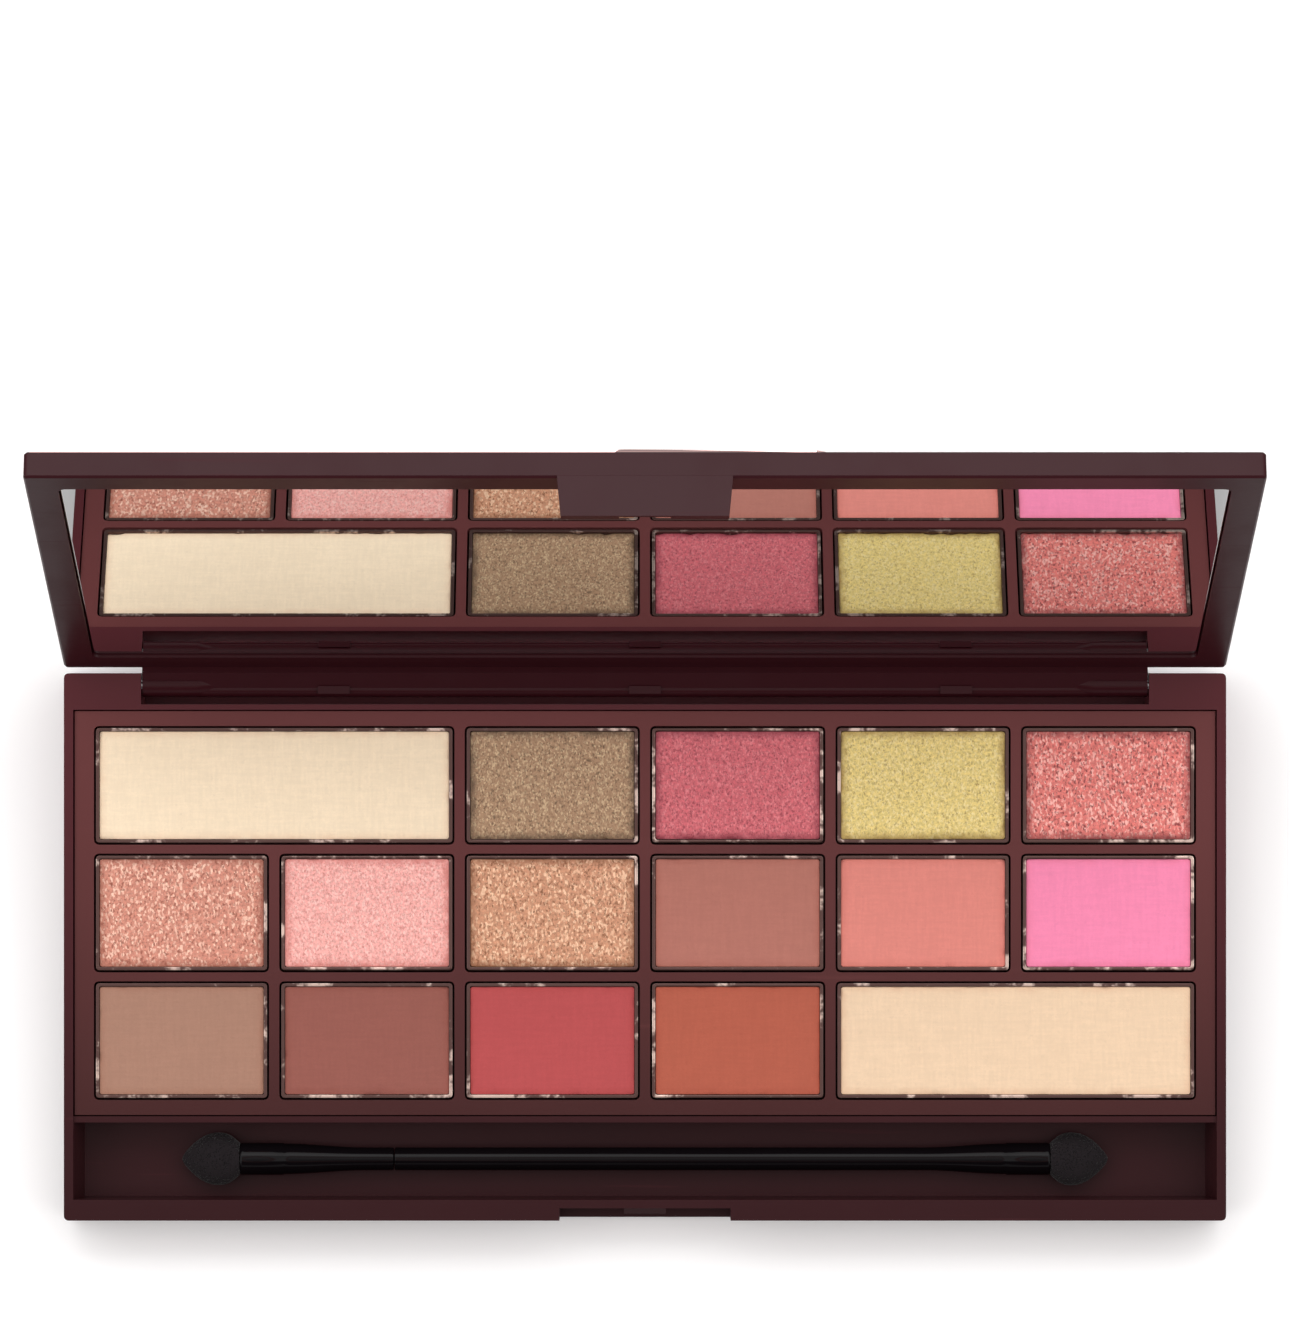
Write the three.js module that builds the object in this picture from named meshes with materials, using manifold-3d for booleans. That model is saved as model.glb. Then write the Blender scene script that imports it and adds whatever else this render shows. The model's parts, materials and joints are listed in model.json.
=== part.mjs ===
/**
 * A sixteen-pan eyeshadow palette with a mirrored, hinged lid and a double-ended sponge applicator.
 *
 * Units are millimetres. The origin is at the centre of the base's underside, +X runs along the hinge,
 * +Y points to the hinge side and +Z points up. The lid stands open at LID_REST_ANGLE from closed.
 */
import * as THREE from "three";
import { mergeVertices } from "three/addons/utils/BufferGeometryUtils.js";
import Module from "manifold-3d";

const manifoldLibrary = await Module();
manifoldLibrary.setup();

// ---------------------------------------------------------------- driving dimensions

// Case
const CASE_WIDTH = 150;
const CASE_DEPTH = 70.65;
const RIM_HEIGHT = 9;
const CASE_CORNER = 0.7;
const EDGE_CHAMFER = 0.45;
const WALL = 1.2;
const FLOOR = 1.2;
const BACK_WALL = 0.7;

// How far a cutting tool runs past the face that it opens
const OVERCUT = 1;

// Applicator trough, along the front
const FRONT_WALL = 2.7;
const TROUGH_WIDTH = 9.95;
const TROUGH_FLOOR = 2.2;
const TROUGH_END_SLOPE = 1.0;
const DIVIDER = 0.8;

// Thumb notch and snap catch
const NOTCH_WIDTH = 22.1;
const NOTCH_DEPTH = 1.6;
const NOTCH_BOTTOM = 2.6;
const CATCH_WIDTH = 5.4;
const CATCH_REACH = 0.9;
const CATCH_HEIGHT = 5.2;
const CATCH_RISE = 0.9;
const CATCH_ROOT = 0.2;

// Hinge: the axis sits this far inside the ears' top and back faces
const HINGE_INSET = 1.6;
const EAR_WIDTH = 9.95;
const LID_SWING_GAP = 0.1;
const KNUCKLE_RADIUS = 1.5;
const KNUCKLE_LENGTH = 7;
const KNUCKLE_TAPER = 2.3;
const KNUCKLE_SIDE_GAP = 0.15;
const HINGE_CLEARANCE = 0.92;
const ROD_RADIUS = 0.95;
const ROD_OFFSET = 0.55;
const HINGE_SHELF_REACH = 2.2;
const WEB_THICKNESS = 1.3;
const WEB_SETBACK = 0.4;
const WEB_ROOT_RISE = 0.9;
const WEB_BACK_RISE = 1.5;
const WEB_BACK_FOOT = 0.6;
const WEB_ROD_GRIP = { side: 0.8, under: 0.3, over: 0.5 };
const PIN_RADIUS = 0.7;
const PIN_LENGTH = 15;
const PIN_INSET = 0.5;
const PIN_FIT_GAP = 0.06;
const PIN_RUNNING_GAP = 0.1;
const PIN_END_GAP = 0.5;
const PAD_LENGTH = 4.1;
const PAD_WIDTH = 1;
const PAD_RISE = 0.25;
const PAD_SPACING = 40.2;

// Pan tray and pans
const TRAY_DROP = 0.4;
const TRAY_PLATE = 1.2;
const TRAY_GAP = 0.15;
const TRAY_WALL = 1;
const TRAY_MARGIN = { side: 2.75, front: 2.2, back: 2.2 };
const PAN_COLUMNS = 6;
const PAN_ROWS = 3;
const PAN_COLUMN_RIB = 1.83;
const PAN_ROW_RIB = 1.66;
const PAN_HEIGHT = 3.4;
const PAN_WALL = 0.42;
const PAN_CORNER = 0.5;
const PAN_LEAST_CORNER = 0.3;
const PAN_DROP = 0.12;
const PAN_GAP = 0.25;
const POWDER_DROP = 0.22;
const WELL_FLOOR = 1;
const TRAY_POCKETS = 3;
const GLUE_GAP = 0.05;

// Applicator
const APPLICATOR_LENGTH = 120;
const HANDLE_RADIUS = 1.5;
const COLLAR_RADIUS = 2.1;
const COLLAR_LENGTH = 6;
const COLLAR_FLARE = 9;
const COLLAR_CHAMFER = 0.3;
const HANDLE_SEAM = -32.5;
const SPIGOT_RADIUS = 0.85;
const SPIGOT_LENGTH = 6;
const SPIGOT_GAP = 0.1;
const TIP_LENGTH = 7.5;
const TIP_WIDTH = 6.9;
const TIP_THICKNESS = 4.1;
const TIP_STEM_RADIUS = 1;
const TIP_STEM_LENGTH = 3;
const TIP_STEM_REACH = 0.3;
const TIP_GAP = 0.1;
const APPLICATOR_LIFT = 0.1;

/** The tip's outline: [share of its length, share of its half width]. */
const TIP_OUTLINE = [[0.1, 0.68], [0.22, 0.92], [0.36, 1], [0.54, 0.93], [0.74, 0.68], [0.9, 0.36], [1, 0]];
const TIP_ROOT_SHARE = 0.42;

// Lid
const LID_REST_ANGLE = 110;
const LID_GAP = 0.2;
const LID_THICKNESS = 3.4;
const LID_SKIN = 1.5;
const LID_CHAMFER = 0.27;
const MIRROR_BORDER = 4;
const MIRROR_CORNER = 1.2;
const MIRROR_THICKNESS = 1.2;
const SHEET_THICKNESS = 0.15;
const SHEET_GAP = 0.06;
const SHEET_INSET = 3;
const TAB_SIDE_GAP = 0.4;
const TAB_THICKNESS = 1.35;
const TAB_DROP = 4.9;
const TAB_END_TAPER = 0.5;
const TAB_FACE_TAPER = 0.15;
const TAB_ROOT = 0.5;
const CATCH_SIDE_GAP = 0.4;
const CATCH_FACE_GAP = 0.12;

// Relief plate: chocolate blocks on a grid that divides the lid, melting into a pool
const BLOCK_COLUMNS = 6;
const BLOCK_ROWS = 4;
const FULL_COLUMNS = 3;
const RELIEF_INSET = 0.6;
const RELIEF_FRONT_INSET = 1.3;
const GROOVE = 0.8;
const SLAB_HEIGHT = 0.45;
const LEDGE_HEIGHT = 0.9;
const PLATEAU_HEIGHT = 1.4;
const POOL_HEIGHT = 1;
const POOL_EDGE = 0.45;
const POOL_LIFT = 0.05;
const BITTEN_STEPS = 60;
const DRIP_STEPS = 90;
const OUTER_CHAMFER = { side: 1.75, back: 1.25, front: 1.85 };
const LEDGE = { side: 1.0, back: 1.0, front: 1.55 };
const INNER_CHAMFER = { side: 1.9, back: 1.0, front: 2.1 };

/** The pool's free edge, in block-grid units: columns from the left, rows from the hinge side. */
const DRIP_EDGE = [
  [4.64, 0.02], [4.73, 0.11], [4.60, 0.31], [4.58, 0.58], [4.41, 0.71], [4.28, 0.92],
  [4.40, 1.22], [4.54, 1.47], [4.46, 1.72], [4.24, 1.82], [4.18, 1.95], [4.27, 2.09],
  [4.60, 2.11], [4.92, 2.13], [5.00, 2.29], [4.90, 2.44], [4.42, 2.37], [4.08, 2.32],
  [3.74, 2.38], [3.54, 2.59], [3.48, 2.88], [3.56, 3.12], [3.67, 3.36], [3.74, 3.60],
  [3.86, 3.77], [3.86, 3.92], [3.79, 3.99],
];

/** Where the blocks end and the pool begins, in the same units, from the hinge side to the front. */
const BITTEN_EDGE = [
  [3.46, -0.02], [3.33, 0.25], [3.35, 0.55], [3.50, 0.92], [3.49, 1.10], [3.35, 1.40], [3.30, 1.85],
  [3.24, 1.93], [2.98, 1.97], [2.98, 2.38], [2.88, 2.56], [2.78, 2.72], [2.90, 3.08],
  [2.76, 3.32], [2.74, 3.62], [2.80, 4.02],
];

// ---------------------------------------------------------------- derived places

const FRONT_Y = -CASE_DEPTH / 2;
const BACK_Y = CASE_DEPTH / 2;
const HALF_WIDTH = CASE_WIDTH / 2;
const HINGE_Y = BACK_Y - HINGE_INSET;
const HINGE_Z = RIM_HEIGHT - HINGE_INSET;
const EAR_INNER_X = HALF_WIDTH - EAR_WIDTH;

const BACK_WALL_Y = HINGE_Y - KNUCKLE_RADIUS - HINGE_CLEARANCE;
const BAY_BACK_Y = BACK_WALL_Y - BACK_WALL;
const TROUGH_FRONT_Y = FRONT_Y + FRONT_WALL;
const TROUGH_BACK_Y = TROUGH_FRONT_Y + TROUGH_WIDTH;
const BAY_FRONT_Y = TROUGH_BACK_Y + DIVIDER;
const BAY_HALF_WIDTH = HALF_WIDTH - WALL;

const TRAY_TOP = RIM_HEIGHT - TRAY_DROP;
const TRAY_HALF_WIDTH = BAY_HALF_WIDTH - TRAY_GAP;
const TRAY_FRONT_Y = BAY_FRONT_Y + TRAY_GAP;
const TRAY_BACK_Y = BAY_BACK_Y - TRAY_GAP;
const PAN_FIELD_WIDTH = 2 * (TRAY_HALF_WIDTH - TRAY_MARGIN.side);
const PAN_WIDTH = (PAN_FIELD_WIDTH - (PAN_COLUMNS - 1) * PAN_COLUMN_RIB) / PAN_COLUMNS;
const PAN_FIELD_DEPTH = TRAY_BACK_Y - TRAY_FRONT_Y - TRAY_MARGIN.front - TRAY_MARGIN.back;
const PAN_DEPTH = (PAN_FIELD_DEPTH - (PAN_ROWS - 1) * PAN_ROW_RIB) / PAN_ROWS;
const PAN_TOP = TRAY_TOP - PAN_DROP;
const PAN_BOTTOM = PAN_TOP - PAN_HEIGHT;
const WELL_BOTTOM = PAN_BOTTOM - GLUE_GAP;

const APPLICATOR_Y = (TROUGH_FRONT_Y + TROUGH_BACK_Y) / 2;
const APPLICATOR_Z = TROUGH_FLOOR + Math.max(COLLAR_RADIUS, TIP_THICKNESS / 2) + APPLICATOR_LIFT;
const COLLAR_END_X = APPLICATOR_LENGTH / 2 - TIP_LENGTH;

// Places on the lid are given closed, from the hinge axis: y to the back, z up
const LID_UNDER = HINGE_INSET + LID_GAP;
const LID_TOP = LID_UNDER + LID_THICKNESS;
const LID_BACK = -(HINGE_INSET + LID_SWING_GAP);
const LID_FRONT = FRONT_Y - HINGE_Y;
const MIRROR_SEAT = LID_TOP - LID_SKIN;
const BARREL_HALF_LENGTH = EAR_INNER_X - KNUCKLE_SIDE_GAP;
const REST_TURN = THREE.MathUtils.degToRad(LID_REST_ANGLE);

const COLUMN_PITCH = CASE_WIDTH / BLOCK_COLUMNS;
const RELIEF_DEPTH = LID_BACK - LID_FRONT - RELIEF_INSET - RELIEF_FRONT_INSET;
const ROW_PITCH = RELIEF_DEPTH / BLOCK_ROWS;
const GRID_LEFT = -HALF_WIDTH + RELIEF_INSET + GROOVE / 2;
const GRID_BACK = LID_BACK - RELIEF_INSET;
const RELIEF_BASE = LID_TOP + SHEET_THICKNESS + 2 * SHEET_GAP;

// ---------------------------------------------------------------- materials

const finish = (color, roughness, metalness = 0) =>
  new THREE.MeshStandardMaterial({ color, roughness, metalness, flatShading: true });

const caseBrown = finish(0x4a2c2c, 0.42);
const trayBrown = finish(0x563234, 0.45);
const roseGold = finish(0xe0a79c, 0.12, 1);
const panMetal = finish(0xc9b9a6, 0.35, 1);
const mirrorGlass = finish(0xe6ecee, 0.03, 1);
const gloss = finish(0x141214, 0.12);
const foam = finish(0x2b2a2c, 0.95);
const steel = finish(0xb9bbbe, 0.3, 1);
const tape = finish(0xe8e4da, 0.8);

/** Powder colours, back row first; a span of 2 fills two columns. */
const POWDER_ROWS = [
  [
    { name: "cream", span: 2, color: 0xf7dbbf },
    { name: "olive_bronze", span: 1, color: 0xa8866b },
    { name: "cranberry", span: 1, color: 0xc9686f },
    { name: "lime_gold", span: 1, color: 0xdcc380 },
    { name: "coral_glitter", span: 1, color: 0xde827b },
  ],
  [
    { name: "copper_rose", span: 1, color: 0xdb9985 },
    { name: "shell_pink", span: 1, color: 0xf5afa7 },
    { name: "gold_copper", span: 1, color: 0xd39b7c },
    { name: "mauve_brown", span: 1, color: 0xb67669 },
    { name: "soft_coral", span: 1, color: 0xe28a7e },
    { name: "hot_pink", span: 1, color: 0xfd8fb4 },
  ],
  [
    { name: "taupe", span: 1, color: 0xb28774 },
    { name: "russet", span: 1, color: 0x9e6157 },
    { name: "berry", span: 1, color: 0xc05757 },
    { name: "rust", span: 1, color: 0xba6350 },
    { name: "peach_cream", span: 2, color: 0xf4d5b5 },
  ],
];

// ---------------------------------------------------------------- geometry helpers

/** Lays an extrusion's local x, y and depth along world Y, Z and X. */
const ALONG_X = new THREE.Matrix4().makeBasis(
  new THREE.Vector3(0, 1, 0),
  new THREE.Vector3(0, 0, 1),
  new THREE.Vector3(1, 0, 0),
);

/** Turns a closed three.js geometry into a solid that can be joined and cut. */
function solid(geometry) {
  const bare = geometry.clone();
  bare.deleteAttribute("normal");
  bare.deleteAttribute("uv");
  const merged = mergeVertices(bare, 1e-4);
  const mesh = new manifoldLibrary.Mesh({
    numProp: 3,
    vertProperties: new Float32Array(merged.attributes.position.array),
    triVerts: new Uint32Array(merged.index.array),
  });
  return new manifoldLibrary.Manifold(mesh);
}

/** Turns a solid back into a three.js geometry. */
function geometryOf(body) {
  const mesh = body.getMesh();
  const geometry = new THREE.BufferGeometry();
  geometry.setAttribute("position", new THREE.BufferAttribute(new Float32Array(mesh.vertProperties), 3));
  geometry.setIndex(new THREE.BufferAttribute(new Uint32Array(mesh.triVerts), 1));
  geometry.computeVertexNormals();
  return geometry;
}

function box([x0, x1], [y0, y1], [z0, z1]) {
  const geometry = new THREE.BoxGeometry(x1 - x0, y1 - y0, z1 - z0);
  geometry.translate((x0 + x1) / 2, (y0 + y1) / 2, (z0 + z1) / 2);
  return solid(geometry);
}

/** A closed outline through corners [x, y, radius], each rounded by its radius. */
function roundedOutline(corners) {
  const shape = new THREE.Shape();
  corners.forEach(([x, y, radius], index) => {
    const corner = new THREE.Vector2(x, y);
    const before = corners[(index + corners.length - 1) % corners.length];
    const after = corners[(index + 1) % corners.length];
    const start = corner.clone().add(new THREE.Vector2(before[0] - x, before[1] - y).setLength(radius));
    const end = corner.clone().add(new THREE.Vector2(after[0] - x, after[1] - y).setLength(radius));
    if (index === 0) {
      shape.moveTo(start.x, start.y);
    } else {
      shape.lineTo(start.x, start.y);
    }
    if (radius > 0) {
      shape.quadraticCurveTo(x, y, end.x, end.y);
    }
  });
  shape.closePath();
  return shape;
}

function rectangle([x0, x1], [y0, y1], radius) {
  return roundedOutline([[x0, y0, radius], [x1, y0, radius], [x1, y1, radius], [x0, y1, radius]]);
}

/** Extrudes an XY outline from z0 to z1; a chamfer narrows both ends. */
function prism(shape, [z0, z1], chamfer = 0) {
  const geometry = new THREE.ExtrudeGeometry(shape, {
    depth: z1 - z0 - 2 * chamfer,
    curveSegments: 5,
    bevelEnabled: chamfer > 0,
    bevelThickness: chamfer,
    bevelSize: chamfer,
    bevelOffset: -chamfer,
    bevelSegments: 1,
  });
  geometry.translate(0, 0, z0 + chamfer);
  return solid(geometry);
}

/** Extrudes a YZ outline along X. */
function bar(outline, [x0, x1]) {
  const shape = new THREE.Shape(outline.map(([y, z]) => new THREE.Vector2(y, z)));
  const geometry = new THREE.ExtrudeGeometry(shape, { depth: x1 - x0, bevelEnabled: false });
  geometry.applyMatrix4(ALONG_X);
  geometry.translate(x0, 0, 0);
  return solid(geometry);
}

/** A round body about a line along X, from [distance along X, radius] points; its ends lie on the line. */
function turned(profile, [y, z], segments = 24) {
  const points = profile.map(([x, radius]) => new THREE.Vector2(radius, x));
  const geometry = new THREE.LatheGeometry(points, segments);
  geometry.rotateZ(-Math.PI / 2);
  geometry.translate(0, y, z);
  return geometry;
}

function rod([x0, x1], radius, centre, segments = 24) {
  return solid(turned([[x0, 0], [x0, radius], [x1, radius], [x1, 0]], centre, segments));
}

/** A block whose top rectangle differs from its bottom one. */
function frustum(bottom, top, [z0, z1]) {
  const corners = ({ x: [x0, x1], y: [y0, y1] }, z) => [x0, y0, z, x1, y0, z, x1, y1, z, x0, y1, z];
  const geometry = new THREE.BufferGeometry();
  const points = new Float32Array([...corners(bottom, z0), ...corners(top, z1)]);
  geometry.setAttribute("position", new THREE.BufferAttribute(points, 3));
  geometry.setIndex([
    0, 2, 1, 0, 3, 2, 4, 5, 6, 4, 6, 7, 0, 1, 5, 0, 5, 4,
    1, 2, 6, 1, 6, 5, 2, 3, 7, 2, 7, 6, 3, 0, 4, 3, 4, 7,
  ]);
  return solid(geometry);
}

function part(name, body, material) {
  const mesh = new THREE.Mesh(geometryOf(body), material);
  mesh.name = name;
  return mesh;
}

const bothSides = (make) => [make(-1), make(1)];
const sideRange = (side, near, far) => (side > 0 ? [near, far] : [-far, -near]);

// ---------------------------------------------------------------- base

function makeCatch() {
  const y = FRONT_Y + NOTCH_DEPTH;
  const outline = [
    [y + CATCH_ROOT, CATCH_HEIGHT - 2 * CATCH_RISE],
    [y, CATCH_HEIGHT - 2 * CATCH_RISE],
    [y - CATCH_REACH, CATCH_HEIGHT],
    [y - CATCH_REACH, CATCH_HEIGHT + CATCH_RISE],
    [y, CATCH_HEIGHT + 2 * CATCH_RISE],
    [y + CATCH_ROOT, CATCH_HEIGHT + 2 * CATCH_RISE],
  ];
  return bar(outline.reverse(), [-CATCH_WIDTH / 2, CATCH_WIDTH / 2]);
}

function makeBaseTub() {
  const outline = roundedOutline([
    [-HALF_WIDTH, FRONT_Y, CASE_CORNER],
    [HALF_WIDTH, FRONT_Y, CASE_CORNER],
    [HALF_WIDTH, BACK_Y, CASE_CORNER],
    [EAR_INNER_X, BACK_Y, 0],
    [EAR_INNER_X, BACK_WALL_Y, 0],
    [-EAR_INNER_X, BACK_WALL_Y, 0],
    [-EAR_INNER_X, BACK_Y, 0],
    [-HALF_WIDTH, BACK_Y, CASE_CORNER],
  ]);
  const overTop = RIM_HEIGHT + 2 * OVERCUT;
  const block = prism(outline, [0, overTop], EDGE_CHAMFER)
    .subtract(box([-CASE_WIDTH, CASE_WIDTH], [2 * FRONT_Y, 2 * BACK_Y], [RIM_HEIGHT, overTop + OVERCUT]));
  const bay = box([-BAY_HALF_WIDTH, BAY_HALF_WIDTH], [BAY_FRONT_Y, BAY_BACK_Y], [FLOOR, overTop]);
  const dividerTrim = box([-BAY_HALF_WIDTH, BAY_HALF_WIDTH], [TROUGH_BACK_Y - OVERCUT, BAY_FRONT_Y + OVERCUT],
    [TRAY_TOP, overTop]);
  const troughY = [TROUGH_FRONT_Y, TROUGH_BACK_Y];
  const floorHalf = BAY_HALF_WIDTH - TROUGH_END_SLOPE;
  const mouthHalf = floorHalf + (TROUGH_END_SLOPE * (overTop - TROUGH_FLOOR)) / (RIM_HEIGHT - TROUGH_FLOOR);
  const trough = frustum({ x: [-floorHalf, floorHalf], y: troughY }, { x: [-mouthHalf, mouthHalf], y: troughY },
    [TROUGH_FLOOR, overTop]);
  const notch = box([-NOTCH_WIDTH / 2, NOTCH_WIDTH / 2], [FRONT_Y - OVERCUT, FRONT_Y + NOTCH_DEPTH],
    [NOTCH_BOTTOM, overTop]);
  let tub = block.subtract(bay).subtract(dividerTrim).subtract(trough).subtract(notch);
  for (const side of [-1, 1]) {
    const hole = rod(sideRange(side, EAR_INNER_X - OVERCUT, HALF_WIDTH + OVERCUT), PIN_RADIUS + PIN_FIT_GAP,
      [HINGE_Y, HINGE_Z]);
    tub = tub.subtract(hole);
  }
  const hingeShelf = box([-EAR_INNER_X - OVERCUT, EAR_INNER_X + OVERCUT],
    [BAY_BACK_Y, BACK_WALL_Y + HINGE_SHELF_REACH], [EDGE_CHAMFER, FLOOR]);
  return part("base_tub", tub.add(hingeShelf).add(makeCatch()), caseBrown);
}

function makeHingePins() {
  const names = { "-1": "hinge_pin_left", 1: "hinge_pin_right" };
  const outer = HALF_WIDTH - PIN_INSET;
  return bothSides((side) => part(
    names[side],
    rod(sideRange(side, outer - PIN_LENGTH, outer), PIN_RADIUS, [HINGE_Y, HINGE_Z]),
    steel,
  ));
}

// ---------------------------------------------------------------- tray, pans and powders

/** Every pan as its centre, size, name and powder colour. */
function panLayout() {
  const fieldLeft = -PAN_FIELD_WIDTH / 2;
  const backRowY = TRAY_BACK_Y - TRAY_MARGIN.back - PAN_DEPTH / 2;
  const columnPitch = PAN_WIDTH + PAN_COLUMN_RIB;
  const rowPitch = PAN_DEPTH + PAN_ROW_RIB;
  const pans = [];
  POWDER_ROWS.forEach((row, rowIndex) => {
    const y = backRowY - rowIndex * rowPitch;
    let column = 0;
    for (const { name, span, color } of row) {
      const width = PAN_WIDTH + (span - 1) * columnPitch;
      const x = fieldLeft + column * columnPitch + width / 2;
      pans.push({ name, color, x, y, width, depth: PAN_DEPTH });
      column += span;
    }
  });
  return pans;
}

/** The outline of a pan, grown by a margin all round. */
function panOutline({ x, y, width, depth }, grow) {
  const halfWidth = width / 2 + grow;
  const halfDepth = depth / 2 + grow;
  const radius = Math.max(PAN_CORNER + grow, PAN_LEAST_CORNER);
  return rectangle([x - halfWidth, x + halfWidth], [y - halfDepth, y + halfDepth], radius);
}

function makePanTray(pans) {
  const plate = box([-TRAY_HALF_WIDTH, TRAY_HALF_WIDTH], [TRAY_FRONT_Y, TRAY_BACK_Y],
    [TRAY_TOP - TRAY_PLATE, TRAY_TOP]);
  const outside = PAN_GAP + TRAY_WALL;
  const blockX = PAN_FIELD_WIDTH / 2 + outside;
  const blockFront = TRAY_FRONT_Y + TRAY_MARGIN.front - outside;
  const blockBack = TRAY_BACK_Y - TRAY_MARGIN.back + outside;
  const block = box([-blockX, blockX], [blockFront, blockBack], [FLOOR + GLUE_GAP, TRAY_TOP]);
  let tray = plate.add(block);
  const pocketTop = WELL_BOTTOM - WELL_FLOOR;
  const pocketPitch = (2 * blockX - TRAY_WALL) / TRAY_POCKETS;
  for (let index = 0; index < TRAY_POCKETS; index += 1) {
    const left = -blockX + TRAY_WALL + index * pocketPitch;
    tray = tray.subtract(box([left, left + pocketPitch - TRAY_WALL],
      [blockFront + TRAY_WALL, blockBack - TRAY_WALL], [0, pocketTop]));
  }
  for (const pan of pans) {
    tray = tray.subtract(prism(panOutline(pan, PAN_GAP), [WELL_BOTTOM, TRAY_TOP + OVERCUT]));
  }
  return part("pan_tray", tray, trayBrown);
}

function makePan(pan) {
  const shell = prism(panOutline(pan, 0), [PAN_BOTTOM, PAN_TOP]);
  const inside = prism(panOutline(pan, -PAN_WALL), [PAN_BOTTOM + PAN_WALL, PAN_TOP + OVERCUT]);
  return part(`pan_${pan.name}`, shell.subtract(inside), panMetal);
}

function makePowder(pan) {
  const fill = prism(panOutline(pan, -PAN_WALL - SHEET_GAP),
    [PAN_BOTTOM + PAN_WALL + GLUE_GAP, PAN_TOP - POWDER_DROP]);
  return part(`powder_${pan.name}`, fill, finish(pan.color, 0.9));
}

// ---------------------------------------------------------------- applicator

/** One half of the handle, from its seam to the collar that holds a tip. */
function handleBody(side, seam) {
  const end = side * COLLAR_END_X;
  const profile = [
    [seam, 0],
    [seam, HANDLE_RADIUS],
    [end - side * (COLLAR_LENGTH + COLLAR_FLARE), HANDLE_RADIUS],
    [end - side * COLLAR_LENGTH, COLLAR_RADIUS],
    [end - side * COLLAR_CHAMFER, COLLAR_RADIUS],
    [end, COLLAR_RADIUS - COLLAR_CHAMFER],
    [end, 0],
  ];
  const ordered = side > 0 ? profile : profile.reverse();
  const socket = rod(sideRange(side, COLLAR_END_X - TIP_STEM_LENGTH - TIP_GAP, COLLAR_END_X + OVERCUT),
    TIP_STEM_RADIUS + TIP_GAP, [APPLICATOR_Y, APPLICATOR_Z]);
  return solid(turned(ordered, [APPLICATOR_Y, APPLICATOR_Z])).subtract(socket);
}

function makeHandles() {
  const centre = [APPLICATOR_Y, APPLICATOR_Z];
  const spigot = rod([HANDLE_SEAM - SPIGOT_LENGTH, HANDLE_SEAM + OVERCUT], SPIGOT_RADIUS, centre);
  const bore = rod([HANDLE_SEAM - SPIGOT_LENGTH - SPIGOT_GAP, HANDLE_SEAM + OVERCUT], SPIGOT_RADIUS + SPIGOT_GAP,
    centre);
  return [
    part("applicator_handle_long", handleBody(1, HANDLE_SEAM + SPIGOT_GAP / 2).add(spigot), gloss),
    part("applicator_handle_short", handleBody(-1, HANDLE_SEAM - SPIGOT_GAP / 2).subtract(bore), gloss),
  ];
}

/** A flattened pointed foam tip, with a round stem in the collar's socket. */
function makeTip(side, name) {
  const halfWidth = TIP_WIDTH / 2;
  const profile = [
    [TIP_GAP, 0],
    [TIP_GAP, halfWidth * TIP_ROOT_SHARE],
    ...TIP_OUTLINE.map(([along, across]) => [TIP_LENGTH * along, halfWidth * across]),
  ];
  const pad = turned(profile, [0, 0], 28);
  pad.scale(1, 1, TIP_THICKNESS / TIP_WIDTH);
  const stem = rod([-TIP_STEM_LENGTH, TIP_LENGTH * TIP_STEM_REACH], TIP_STEM_RADIUS, [0, 0]);
  const geometry = geometryOf(solid(pad).add(stem));
  if (side < 0) {
    geometry.rotateZ(Math.PI);
  }
  geometry.translate(side * COLLAR_END_X, APPLICATOR_Y, APPLICATOR_Z);
  return part(name, solid(geometry), foam);
}

// ---------------------------------------------------------------- lid

/** A point that lies at [y, z] from the hinge axis when the lid is at rest, given for the closed lid. */
function closedPlace([y, z]) {
  const cos = Math.cos(REST_TURN);
  const sin = Math.sin(REST_TURN);
  return [y * cos - z * sin, y * sin + z * cos];
}

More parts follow.
